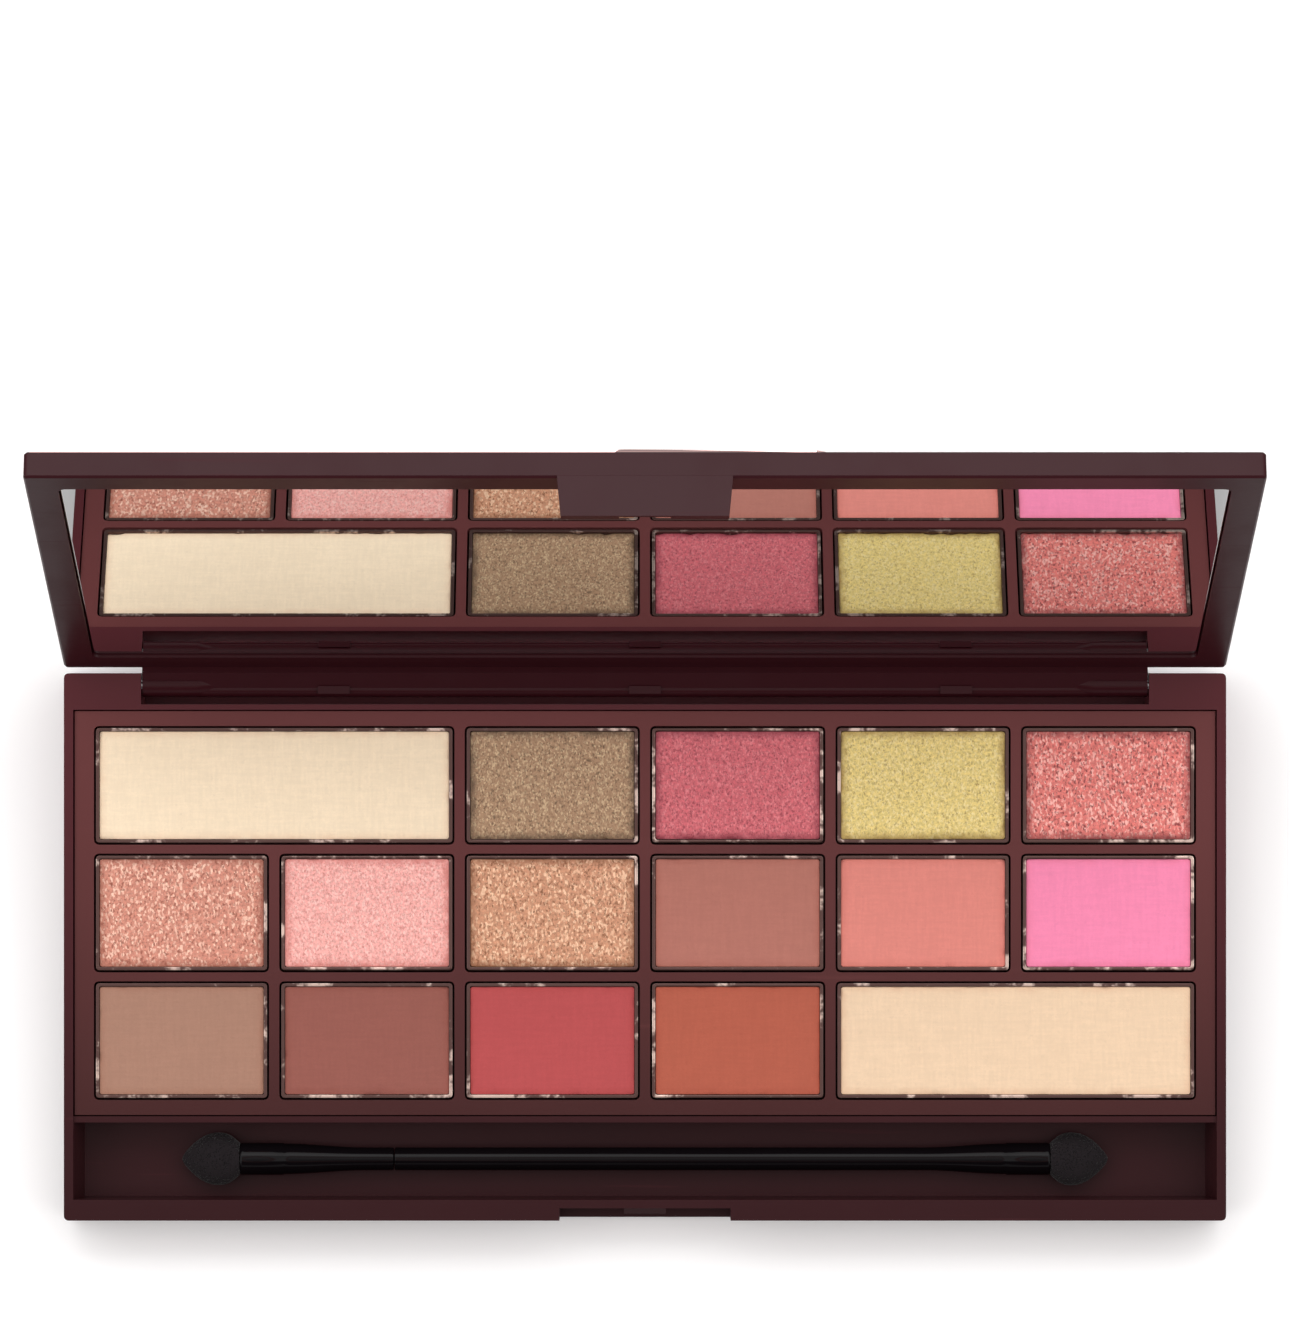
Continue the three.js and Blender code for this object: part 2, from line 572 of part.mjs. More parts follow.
/** The slim rod between the knuckles, the web that carries it, and three small stop pads. */
function makeHingeSpine() {
  const rodCentre = closedPlace([-ROD_OFFSET, 0]);
  const webFront = LID_BACK - WEB_SETBACK;
  const backTop = LID_UNDER + WEB_BACK_RISE;
  const grip = {
    side: ROD_RADIUS * WEB_ROD_GRIP.side,
    under: ROD_RADIUS * WEB_ROD_GRIP.under,
    over: ROD_RADIUS * WEB_ROD_GRIP.over,
  };
  const web = bar([
    [webFront, LID_UNDER + WEB_ROOT_RISE],
    [webFront, HINGE_INSET - WEB_THICKNESS / 2],
    [rodCentre[0] - grip.side, rodCentre[1] - grip.under],
    [rodCentre[0] + grip.side, rodCentre[1] + grip.over],
    [webFront + WEB_THICKNESS, HINGE_INSET + LID_SWING_GAP],
    [LID_BACK, backTop],
    [LID_BACK - WEB_BACK_FOOT, backTop],
  ], [-BARREL_HALF_LENGTH, BARREL_HALF_LENGTH]);
  const slimHalf = BARREL_HALF_LENGTH - KNUCKLE_LENGTH;
  let spine = web.add(rod([-BARREL_HALF_LENGTH, BARREL_HALF_LENGTH], ROD_RADIUS, rodCentre));
  for (const side of [-1, 1]) {
    const profile = [
      [side * (slimHalf - KNUCKLE_TAPER), 0],
      [side * (slimHalf - KNUCKLE_TAPER), ROD_RADIUS],
      [side * slimHalf, KNUCKLE_RADIUS],
      [side * BARREL_HALF_LENGTH, KNUCKLE_RADIUS],
      [side * BARREL_HALF_LENGTH, 0],
    ];
    spine = spine.add(solid(turned(side > 0 ? profile : profile.reverse(), [0, 0])));
  }
  for (const step of [-1, 0, 1]) {
    const y = -ROD_OFFSET;
    const pad = box([step * PAD_SPACING - PAD_LENGTH / 2, step * PAD_SPACING + PAD_LENGTH / 2],
      [y - PAD_WIDTH / 2, y + PAD_WIDTH / 2], [0, ROD_RADIUS + PAD_RISE]);
    spine = spine.add(solid(geometryOf(pad).rotateX(REST_TURN)));
  }
  return spine;
}

/** The thumb tab that hangs in the base's notch, with the slot that the catch nub snaps into. */
function makeThumbTab() {
  const halfWidth = NOTCH_WIDTH / 2 - TAB_SIDE_GAP;
  const bottom = LID_UNDER - TAB_DROP;
  const tab = frustum(
    {
      x: [-halfWidth + TAB_END_TAPER, halfWidth - TAB_END_TAPER],
      y: [LID_FRONT + TAB_FACE_TAPER, LID_FRONT + TAB_THICKNESS - TAB_FACE_TAPER],
    },
    { x: [-halfWidth, halfWidth], y: [LID_FRONT, LID_FRONT + TAB_THICKNESS] },
    [bottom, LID_UNDER + TAB_ROOT],
  );
  const slotHalf = CATCH_WIDTH / 2 + CATCH_SIDE_GAP;
  const slotFront = LID_FRONT + NOTCH_DEPTH - CATCH_REACH - CATCH_FACE_GAP;
  const slot = box([-slotHalf, slotHalf], [slotFront, LID_FRONT + TAB_THICKNESS + OVERCUT],
    [bottom - OVERCUT, LID_UNDER - LID_GAP]);
  return tab.subtract(slot);
}

function makeLidShell() {
  const outline = rectangle([-HALF_WIDTH, HALF_WIDTH], [LID_FRONT, LID_BACK], CASE_CORNER);
  const plate = prism(outline, [LID_UNDER, LID_TOP], LID_CHAMFER);
  const seat = prism(mirrorOutline(SHEET_GAP), [LID_UNDER - OVERCUT, MIRROR_SEAT]);
  let shell = plate.subtract(seat).add(makeHingeSpine()).add(makeThumbTab());
  for (const side of [-1, 1]) {
    const inner = HALF_WIDTH - PIN_INSET - PIN_LENGTH - PIN_END_GAP;
    shell = shell.subtract(rod(sideRange(side, inner, HALF_WIDTH), PIN_RADIUS + PIN_RUNNING_GAP, [0, 0]));
  }
  return part("lid_shell", shell, caseBrown);
}

/** The mirror's outline on the closed lid, grown by a margin. */
function mirrorOutline(grow) {
  const halfWidth = HALF_WIDTH - MIRROR_BORDER + grow;
  return rectangle([-halfWidth, halfWidth],
    [LID_FRONT + MIRROR_BORDER - grow, LID_BACK - MIRROR_BORDER + grow], MIRROR_CORNER);
}

function makeMirrorStack() {
  const sheetTop = MIRROR_SEAT - SHEET_GAP;
  const mirrorTop = sheetTop - SHEET_THICKNESS - SHEET_GAP;
  return [
    part("mirror_adhesive", prism(mirrorOutline(-SHEET_INSET), [sheetTop - SHEET_THICKNESS, sheetTop]), tape),
    part("mirror", prism(mirrorOutline(-SHEET_GAP), [mirrorTop - MIRROR_THICKNESS, mirrorTop]), mirrorGlass),
  ];
}

// ---------------------------------------------------------------- relief plate

/** A point of the block grid, in columns from the left and rows from the hinge side, on the closed lid. */
const gridPoint = ([column, row]) => new THREE.Vector2(
  GRID_LEFT + column * COLUMN_PITCH,
  GRID_BACK - row * ROW_PITCH,
);

const alongCurve = (points, divisions) => new THREE.SplineCurve(points.map(gridPoint)).getPoints(divisions);

/** One two-tier block of the grid. */
function makeBlock(column, row) {
  const left = GRID_LEFT + column * COLUMN_PITCH + GROOVE / 2;
  const back = GRID_BACK - row * ROW_PITCH - GROOVE / 2;
  const whole = {
    x: [left, left + COLUMN_PITCH - GROOVE],
    y: [back - ROW_PITCH + GROOVE, back],
  };
  const inset = ({ x: [x0, x1], y: [y0, y1] }, { side, back: behind, front }) => ({
    x: [x0 + side, x1 - side],
    y: [y0 + front, y1 - behind],
  });
  const ledge = inset(whole, OUTER_CHAMFER);
  const upper = inset(ledge, LEDGE);
  const plateau = inset(upper, INNER_CHAMFER);
  const lowerTier = frustum(whole, ledge, [RELIEF_BASE + SLAB_HEIGHT, RELIEF_BASE + LEDGE_HEIGHT]);
  const upperTier = frustum(upper, plateau, [RELIEF_BASE + LEDGE_HEIGHT, RELIEF_BASE + PLATEAU_HEIGHT]);
  return lowerTier.add(upperTier);
}

function makeReliefPlate() {
  const bitten = alongCurve(BITTEN_EDGE, BITTEN_STEPS);
  const drip = alongCurve(DRIP_EDGE, DRIP_STEPS);
  const backLeft = new THREE.Vector2(-HALF_WIDTH + RELIEF_INSET, GRID_BACK);
  const frontLeft = new THREE.Vector2(-HALF_WIDTH + RELIEF_INSET, GRID_BACK - RELIEF_DEPTH);
  const plateOutline = new THREE.Shape([backLeft, ...drip, frontLeft].reverse());
  const poolOutline = new THREE.Shape([...bitten, ...drip.slice().reverse()]);
  const blockSide = new THREE.Shape([backLeft, ...bitten, frontLeft].reverse());
  const slabTop = RELIEF_BASE + SLAB_HEIGHT;
  const topOfAll = RELIEF_BASE + 2 * PLATEAU_HEIGHT;
  let blocks = null;
  for (let column = 0; column <= FULL_COLUMNS; column += 1) {
    for (let row = 0; row < BLOCK_ROWS; row += 1) {
      const block = makeBlock(column, row);
      blocks = blocks ? blocks.add(block) : block;
    }
  }
  const slab = prism(plateOutline, [RELIEF_BASE, slabTop]);
  const reach = prism(blockSide, [RELIEF_BASE, topOfAll]);
  const pool = prism(poolOutline, [RELIEF_BASE + POOL_LIFT, RELIEF_BASE + POOL_HEIGHT], POOL_EDGE)
    .intersect(prism(plateOutline, [RELIEF_BASE, topOfAll]));
  return part("relief_plate", slab.add(blocks.intersect(reach)).add(pool), roseGold);
}

function makeReliefAdhesive() {
  const base = LID_TOP + SHEET_GAP;
  const sheet = box(
    [-HALF_WIDTH + RELIEF_INSET + SHEET_INSET, GRID_LEFT + FULL_COLUMNS * COLUMN_PITCH],
    [GRID_BACK - RELIEF_DEPTH + SHEET_INSET, GRID_BACK - SHEET_INSET],
    [base, base + SHEET_THICKNESS],
  );
  return part("relief_adhesive", sheet, tape);
}

// ---------------------------------------------------------------- assembly

const pans = panLayout();

const base = new THREE.Group();
base.add(makeBaseTub(), ...makeHingePins(), makePanTray(pans));
base.add(...pans.map(makePan), ...pans.map(makePowder));

const applicator = new THREE.Group();
applicator.add(...makeHandles());
applicator.add(makeTip(-1, "sponge_tip_left"), makeTip(1, "sponge_tip_right"));

const lid = new THREE.Group();
lid.add(makeLidShell(), ...makeMirrorStack(), makeReliefPlate(), makeReliefAdhesive());
lid.position.set(0, HINGE_Y, HINGE_Z);
lid.rotation.x = -REST_TURN;

const group = new THREE.Group();
group.add(base, applicator, lid);

export default group;
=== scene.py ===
"""The looks of a sixteen-pan eyeshadow palette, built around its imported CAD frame.

The case, tray, pans and lid keep their CAD shape and gain softened edges. The powders, the applicator
and the melting relief on the lid are modelled here. Lengths are in metres unless a name says otherwise.
"""

from __future__ import annotations

import json
import logging
import math
from dataclasses import dataclass, field
from enum import Enum
from typing import Iterable, Sequence

import bmesh
import bpy
from mathutils import Matrix, Vector, noise

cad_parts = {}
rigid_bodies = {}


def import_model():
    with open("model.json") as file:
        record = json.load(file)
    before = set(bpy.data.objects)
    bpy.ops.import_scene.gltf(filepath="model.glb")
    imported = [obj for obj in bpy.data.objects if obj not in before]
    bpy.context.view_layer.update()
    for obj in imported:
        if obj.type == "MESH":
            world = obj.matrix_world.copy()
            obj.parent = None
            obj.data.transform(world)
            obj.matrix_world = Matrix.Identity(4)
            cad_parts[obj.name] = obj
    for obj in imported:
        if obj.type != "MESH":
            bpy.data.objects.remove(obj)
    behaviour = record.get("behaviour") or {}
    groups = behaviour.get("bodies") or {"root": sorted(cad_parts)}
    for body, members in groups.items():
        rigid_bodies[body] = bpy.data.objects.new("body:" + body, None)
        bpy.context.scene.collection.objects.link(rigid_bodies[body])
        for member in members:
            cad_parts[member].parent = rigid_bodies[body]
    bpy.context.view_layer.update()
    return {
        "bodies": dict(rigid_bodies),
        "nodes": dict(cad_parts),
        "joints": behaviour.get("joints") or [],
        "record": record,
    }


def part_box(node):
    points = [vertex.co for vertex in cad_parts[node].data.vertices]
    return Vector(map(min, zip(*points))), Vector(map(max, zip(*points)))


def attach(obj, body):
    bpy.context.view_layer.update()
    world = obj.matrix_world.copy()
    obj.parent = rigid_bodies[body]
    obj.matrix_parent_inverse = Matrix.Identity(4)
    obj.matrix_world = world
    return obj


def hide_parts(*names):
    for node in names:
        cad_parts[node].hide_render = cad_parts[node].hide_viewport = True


LOG = logging.getLogger("palette")
MM = 0.001
POWDER_SEED_STEP = 7.3

Colour = tuple[float, float, float, float]
Sockets = dict[str | int, object]
Profile = list[tuple[float, float]]


def srgb(red: int, green: int, blue: int) -> Colour:
    """Turns a display colour of 0 to 255 into the linear colour that shaders take.

    Args:
        red: Red, 0 to 255.
        green: Green, 0 to 255.
        blue: Blue, 0 to 255.

    Returns:
        The linear colour, with full alpha.
    """

    def linear(channel: int) -> float:
        """One channel, made linear."""
        share = channel / 255
        return share / 12.92 if share <= 0.04045 else ((share + 0.055) / 1.055) ** 2.4

    return (linear(red), linear(green), linear(blue), 1.0)


def grey(level: float) -> Colour:
    """A neutral linear colour."""
    return (level, level, level, 1.0)


def shaded(colour: Colour, factor: float) -> Colour:
    """A colour made darker or lighter.

    Args:
        colour: The linear colour.
        factor: What each channel is multiplied by.

    Returns:
        The new colour.
    """
    return (colour[0] * factor, colour[1] * factor, colour[2] * factor, 1.0)


# ---------------------------------------------------------------- shader graphs


class Wave:
    """A value in a shader that Python expressions can work on."""

    def __init__(self, graph: "Graph", socket: bpy.types.NodeSocket) -> None:
        """Wraps an output socket.

        Args:
            graph: The graph that the socket is in.
            socket: The output socket that gives the value.
        """
        self.graph = graph
        self.socket = socket

    def math(self, operation: str, other: "Wave | float") -> "Wave":
        """Adds a Math node on this value.

        Args:
            operation: The Math node's operation.
            other: Its second input.

        Returns:
            The result.
        """
        return self.graph.make("ShaderNodeMath", {"operation": operation}, {0: self, 1: other})

    def __add__(self, other: "Wave | float") -> "Wave":
        """Sum."""
        return self.math("ADD", other)

    __radd__ = __add__

    def __sub__(self, other: "Wave | float") -> "Wave":
        """Difference."""
        return self.math("SUBTRACT", other)

    def __rsub__(self, other: float) -> "Wave":
        """Difference, with this value taken away."""
        return (self * -1.0) + other

    def __mul__(self, other: "Wave | float") -> "Wave":
        """Product."""
        return self.math("MULTIPLY", other)

    __rmul__ = __mul__

    def ramp(self, low: float, high: float) -> "Wave":
        """A smooth rise.

        Args:
            low: The value that gives 0.
            high: The value that gives 1.

        Returns:
            The rise, 0 to 1.
        """
        return self.graph.make(
            "ShaderNodeMapRange",
            {"interpolation_type": "SMOOTHSTEP", "clamp": True},
            {"Value": self, "From Min": low, "From Max": high},
        )


class Graph:
    """A material's or world's node tree, with short ways to add nodes to it."""

    material: bpy.types.Material

    def __init__(self, tree: bpy.types.NodeTree, place: str = "Object") -> None:
        """Starts a graph on an emptied tree.

        Args:
            tree: The node tree.
            place: The texture coordinates that patterns are laid over.
        """
        self.tree = tree
        tree.nodes.clear()
        self.place = self.make("ShaderNodeTexCoord", {}, {}, output=place)

    @classmethod
    def of_material(cls, name: str) -> "Graph":
        """A graph on a new, empty material.

        Args:
            name: The material's name.

        Returns:
            The graph.
        """
        material = bpy.data.materials.new(name)
        material.use_nodes = True
        graph = cls(material.node_tree)
        graph.material = material
        return graph

    def make(self, kind: str, settings: dict[str, object], inputs: Sockets, output: str | int = 0) -> Wave:
        """Adds a node, with its settings first and its inputs next.

        Args:
            kind: The node's type.
            settings: Attributes to set on the node.
            inputs: Values or links for its input sockets, by name or number.
            output: The output socket to hand back.

        Returns:
            That output.
        """
        node = self.tree.nodes.new(kind)
        for key, value in settings.items():
            setattr(node, key, value)
        for key, value in inputs.items():
            target = node.inputs[key]
            if isinstance(value, Wave):
                self.tree.links.new(value.socket, target)
            else:
                target.default_value = value
        return Wave(self, node.outputs[output])

    def axis(self, name: str) -> Wave:
        """One of the graph's coordinates: X, Y or Z."""
        return self.make("ShaderNodeSeparateXYZ", {}, {"Vector": self.place}, output=name)

    def channel(self, colour: Wave, name: str) -> Wave:
        """One channel of a colour: Red, Green or Blue."""
        return self.make("ShaderNodeSeparateColor", {}, {"Color": colour}, output=name)

    def mapped(self, scale: tuple[float, float, float], turn: float = 0.0) -> Wave:
        """The graph's coordinates, stretched and turned, for patterns that lie along one direction.

        Args:
            scale: The scale along each axis.
            turn: The turn about Z, in radians.

        Returns:
            The coordinates.
        """
        inputs = {"Vector": self.place, "Rotation": (0.0, 0.0, turn), "Scale": scale}
        return self.make("ShaderNodeMapping", {}, inputs)

    def noise(
        self,
        scale: float,
        detail: float = 2.0,
        roughness: float = 0.5,
        place: Wave | None = None,
    ) -> Wave:
        """Smooth noise over the object, about 0 to 1.

        Args:
            scale: Features to the metre.
            detail: Octaves of finer noise.
            roughness: Strength of the finer octaves.
            place: Coordinates other than the graph's own.

        Returns:
            The noise.
        """
        inputs = {"Vector": place or self.place, "Scale": scale, "Detail": detail, "Roughness": roughness}
        return self.make("ShaderNodeTexNoise", {}, inputs, output="Fac")

    def cells(self, scale: float, place: Wave | None = None, output: str = "Distance") -> Wave:
        """A random pattern of cells.

        Args:
            scale: Cells to the metre.
            place: Coordinates other than the graph's own.
            output: Distance from each cell's middle, or each cell's own random Color.

        Returns:
            That output.
        """
        inputs = {"Vector": place or self.place, "Scale": scale}
        return self.make("ShaderNodeTexVoronoi", {}, inputs, output=output)

    def blend(self, mask: Wave, low: Colour | Wave, high: Colour | Wave) -> Wave:
        """A colour that goes from low to high as mask goes from 0 to 1.

        Args:
            mask: The factor.
            low: The colour at 0.
            high: The colour at 1.

        Returns:
            The mixed colour.
        """
        return self.make("ShaderNodeMix", {"data_type": "RGBA"}, {0: mask, 6: low, 7: high}, output=2)

    def bump(self, height: Wave, distance: float, strength: float = 1.0, under: Wave | None = None) -> Wave:
        """A surface relief.

        Args:
            height: The relief's height, 0 to 1.
            distance: The height in metres that 1 stands for.
            strength: How much of it shows.
            under: Another bump to add to.

        Returns:
            The normal.
        """
        inputs: Sockets = {"Strength": strength, "Distance": distance, "Height": height}
        if under is not None:
            inputs["Normal"] = under
        return self.make("ShaderNodeBump", {}, inputs, output="Normal")

    def surface(self, inputs: Sockets) -> bpy.types.Material:
        """Ends the graph in one Principled shader.

        Args:
            inputs: Values or links for the shader's sockets.

        Returns:
            The material.
        """
        self.end("ShaderNodeOutputMaterial", self.make("ShaderNodeBsdfPrincipled", {}, inputs, output="BSDF"))
        return self.material

    def end(self, kind: str, shader: Wave) -> None:
        """Links a shader to an output node.

        Args:
            kind: The output node's type.
            shader: The shader.
        """
        node = self.tree.nodes.new(kind)
        self.tree.links.new(shader.socket, node.inputs["Surface"])


# ---------------------------------------------------------------- finishes


@dataclass(frozen=True)
class Finish:
    """A procedural material in one main colour."""

    name: str
    colour: Colour

    def build(self) -> bpy.types.Material:
        """Makes the material.

        Returns:
            The material.
        """
        graph = Graph.of_material(self.name)
        return graph.surface(self.sockets(graph))

    def sockets(self, graph: Graph) -> Sockets:
        """What feeds the Principled shader.

        Args:
            graph: The material's graph.

        Returns:
            Values or links, by socket name.
        """
        raise NotImplementedError

    def tones(self, graph: Graph, mask: Wave, low: float, high: float) -> Wave:
        """The main colour, made darker or lighter over the surface.

        Args:
            graph: The material's graph.
            mask: Where it changes, 0 to 1.
            low: The colour's factor where mask is 0.
            high: The colour's factor where mask is 1.

        Returns:
            The toned colour.
        """
        return graph.blend(mask, shaded(self.colour, low), shaded(self.colour, high))


@dataclass(frozen=True)
class MouldedPlastic(Finish):
    """Satin injection-moulded plastic, with a fine skin, faint flow marks and light handling wear.

    Two factors scale the colour at the front of the case and at its hinge: painted shade toward the front and
    painted light toward the hinge, for how the light falls.
    """

    roughness: float = 0.36
    grain: float = 0.004 * MM
    front_painted_shade: float = 1.0
    back_painted_light: float = 1.0
    half_depth: float = 35 * MM

    def sockets(self, graph: Graph) -> Sockets:
        """What feeds the Principled shader."""
        smudge = graph.noise(120.0, 4.0, 0.6).ramp(0.42, 0.75)
        streak = graph.noise(900.0, place=graph.mapped((0.04, 1.0, 1.0), 0.5)).ramp(0.66, 0.74)
        cloudy = self.tones(graph, graph.noise(45.0, 3.0), 0.92, 1.1)
        # Painted light and shade: the colour is scaled from the front factor to the hinge factor along Y.
        painted_light_toward_hinge = graph.axis("Y").ramp(-self.half_depth, self.half_depth)
        tone = painted_light_toward_hinge * (self.back_painted_light - self.front_painted_shade) + self.front_painted_shade
        colour = graph.make("ShaderNodeVectorMath", {"operation": "SCALE"}, {"Vector": cloudy, "Scale": tone})
        skin = graph.bump(graph.noise(5200.0), self.grain)
        return {
            "Base Color": graph.blend(streak * 0.2, colour, shaded(self.colour, 1.9)),
            "Roughness": smudge * 0.07 + streak * 0.08 + (self.roughness - 0.03),
            "Normal": graph.bump(graph.noise(700.0, 1.0), self.grain * 2.5, under=skin),
            "Specular IOR Level": 0.16,
        }


@dataclass(frozen=True)
class Metallised(Finish):
    """A bright vacuum-metallised coat over moulded plastic."""

    roughness: float = 0.09

    def sockets(self, graph: Graph) -> Sockets:
        """What feeds the Principled shader."""
        haze = graph.noise(260.0, 4.0, 0.65).ramp(0.5, 0.85)
        pull = graph.bump(graph.noise(110.0, 1.0), 0.08 * MM)
        return {
            "Base Color": self.tones(graph, graph.noise(90.0), 0.94, 1.03),
            "Metallic": 1.0,
            "Roughness": haze * 0.08 + self.roughness,
            "Normal": graph.bump(graph.noise(1500.0, 1.0), 0.0012 * MM, under=pull),
        }


@dataclass(frozen=True)
class PressedMetal(Finish):
    """Thin rolled sheet metal, with fine grain along X."""

    roughness: float = 0.32

    def sockets(self, graph: Graph) -> Sockets:
        """What feeds the Principled shader."""
        grain = graph.noise(6000.0, 3.0, place=graph.mapped((0.05, 1.0, 1.0)))
        return {
            "Base Color": self.tones(graph, graph.noise(400.0, 3.0), 0.8, 1.1),
            "Metallic": 1.0,
            "Roughness": grain * 0.16 + (self.roughness - 0.08),
            "Normal": graph.bump(grain, 0.003 * MM),
        }


@dataclass(frozen=True)
class GlintPatchedRim(Finish):
    """Thin tinplate, dark over most of it, with bright patches along the rim: painted glints that stand in
    for the rim's highlight.
    """

    bright: Colour

    def sockets(self, graph: Graph) -> Sockets:
        """What feeds the Principled shader."""
        painted_glints = graph.noise(170.0, 4.0, 0.75).ramp(0.53, 0.63)
        grain = graph.noise(5000.0)
        return {
            "Base Color": graph.blend(painted_glints, self.colour, self.bright),
            "Metallic": painted_glints * 0.3 + 0.7,
            "Roughness": grain * 0.2 + 0.22,
            "Normal": graph.bump(grain, 0.004 * MM),
        }


class Shimmer(Enum):
    """How much sparkle a pressed powder has."""

    MATTE = 0
    METALLIC = 1
    GLITTER = 2


@dataclass(frozen=True)
class PressedPowder(Finish):
    """Pressed powder: fine grain over a faint woven press mark, with pearl and flecks where it shimmers."""

    shimmer: Shimmer = Shimmer.MATTE
    fleck: Colour = (0.9, 0.8, 0.7, 1.0)
    deep: Colour = (0.2, 0.1, 0.1, 1.0)

    def sockets(self, graph: Graph) -> Sockets:
        """What feeds the Principled shader."""
        return self.matte(graph) if self.shimmer is Shimmer.MATTE else self.shimmering(graph)

    @staticmethod
    def edge(graph: Graph) -> Wave:
        """How near a point is to the powder's rim, from the mesh's own attribute."""
        return graph.make("ShaderNodeAttribute", {"attribute_name": "rim"}, {}, output="Fac")

    def matte(self, graph: Graph) -> Sockets:
        """A soft, dry surface.

        Args:
            graph: The material's graph.

        Returns:
            Values or links, by socket name.
        """
        grain = graph.noise(7000.0, 3.0, 0.6)
        dust = graph.noise(2600.0, 4.0, 0.7).ramp(0.3, 0.75)
        speck = graph.noise(1500.0).ramp(0.66, 0.72)
        body = self.tones(graph, graph.noise(180.0, 3.0), 0.97, 1.03)
        pressed = graph.blend(self.threads(graph).ramp(0.36, 0.64), shaded(self.colour, 0.93), body)
        dusty = graph.blend(dust * 0.5 + 0.5, shaded(self.colour, 0.88), pressed)
        flecked = graph.blend(speck * 0.18, dusty, shaded(self.colour, 0.72))
        press = graph.bump(self.weave(graph), 0.018 * MM, 0.5)
        return {
            # Painted shade: the powder darkens toward the pan's rim.
            "Base Color": graph.blend(self.edge(graph).ramp(0.0, 1.0) * 0.4, flecked, self.painted_rim_shade()),
            "Roughness": grain * 0.12 + 0.82,
            "Specular IOR Level": 0.25,
            "Sheen Weight": 0.12,
            "Sheen Roughness": 0.5,
            "Normal": graph.bump(grain, 0.03 * MM, 0.8, under=press),
        }

    def shimmering(self, graph: Graph) -> Sockets:
        """A pearly surface whose flakes lie at their own angles.

        Args:
            graph: The material's graph.

        Returns:
            Values or links, by socket name.
        """
        glitter = self.shimmer is Shimmer.GLITTER
        strength = 1.0 if glitter else 0.7
        tone = graph.channel(self.flakes(graph, 4400.0 if glitter else 5600.0, 0.6), "Red")
        second = graph.channel(self.flakes(graph, 5000.0 if glitter else 6400.0, -0.7), "Green")
        clump = graph.noise(2300.0, 4.0, 0.75)
        dark = second.ramp(0.6, 1.0) * strength * clump.ramp(0.66, 0.4)
        body = self.tones(graph, clump.ramp(0.3, 0.7), 0.76, 1.16)
        lit = graph.blend(tone.ramp(0.55, 1.0) * strength, body, self.fleck)
        specked = graph.blend(dark, lit, self.deep)
        pits = graph.bump(graph.noise(3200.0, 3.0, 0.65), 0.06 * MM, 0.8)
        return {
            # Painted shade: the powder turns to its deep colour toward the pan's rim.
            "Base Color": graph.blend(self.edge(graph).ramp(0.0, 0.9) * 0.75, specked, self.deep),
            "Metallic": tone * 0.3 + (0.12 if glitter else 0.08),
            "Roughness": second * 0.25 + 0.38,
            "Specular IOR Level": 0.5,
            "Normal": graph.bump(tone, 0.04 * MM, 0.5, under=pits),
        }

    @staticmethod
    def flakes(graph: Graph, scale: float, turn: float) -> Wave:
        """Stroke-like cells that lie along one direction.

        Args:
            graph: The graph.
            scale: Cells to the metre.
            turn: The strokes' direction, in radians.

        Returns:
            Each cell's own random colour.
        """
        return graph.cells(scale, graph.mapped((1.0, 0.62, 1.0), turn), "Color")

    def painted_rim_shade(self) -> Colour:
        """The darker, warmer colour painted near the pan's rim: painted shade where the rim shadows the
        powder.
        """
        return (self.colour[0] * 0.78, self.colour[1] * 0.6, self.colour[2] * 0.55, 1.0)

    @staticmethod
    def threads(graph: Graph) -> Wave:
        """Faint streaks along X and along Y, as of a cloth."""
        along_x, along_y = (
            graph.noise(2600.0, place=graph.mapped(scale)) for scale in ((0.12, 1.0, 1.0), (1.0, 0.12, 1.0))
        )
        return (along_x + along_y) * 0.5

    @staticmethod
    def weave(graph: Graph) -> Wave:
        """The mark of the cloth that the powder is pressed through."""
        inputs = {"Vector": graph.place, "Scale": 560.0, "Distortion": 1.2}
        inputs |= {"Detail": 1.0, "Detail Scale": 2.0}
        warp, weft = (
            graph.make(
                "ShaderNodeTexWave", {"wave_type": "BANDS", "bands_direction": axis}, inputs, output="Fac"
            )
            for axis in "XY"
        )
        return warp * weft


@dataclass(frozen=True)
class GlossPlastic(Finish):
    """Hard, polished plastic."""

    roughness: float = 0.08

    def sockets(self, graph: Graph) -> Sockets:
        """What feeds the Principled shader."""
        touch = graph.noise(300.0, 3.0).ramp(0.5, 0.8)
        return {
            "Base Color": self.tones(graph, graph.noise(80.0), 0.8, 1.3),
            "Roughness": touch * 0.1 + self.roughness,
            "Normal": graph.bump(graph.noise(350.0, 1.0), 0.004 * MM),
            "Specular IOR Level": 0.11,
        }


@dataclass(frozen=True)
class Sponge(Finish):
    """Open-cell foam: pores of several sizes in a soft, matt body."""

    def sockets(self, graph: Graph) -> Sockets:
        """What feeds the Principled shader."""
        walls = graph.cells(3600.0).ramp(0.1, 0.5)
        shade = graph.noise(900.0, 4.0, 0.7)
        tone = self.tones(graph, walls, 0.45, 1.25)
        deep = graph.bump(walls, 0.1 * MM, 0.9)
        return {
            "Base Color": graph.blend(shade.ramp(0.55, 0.8) * 0.3, tone, shaded(self.colour, 2.4)),
            "Roughness": shade * 0.1 + 0.88,
            "Specular IOR Level": 0.12,
            "Sheen Weight": 0.12,
            "Sheen Roughness": 0.4,
            "Normal": graph.bump(graph.cells(8200.0), 0.04 * MM, 0.7, under=deep),
        }


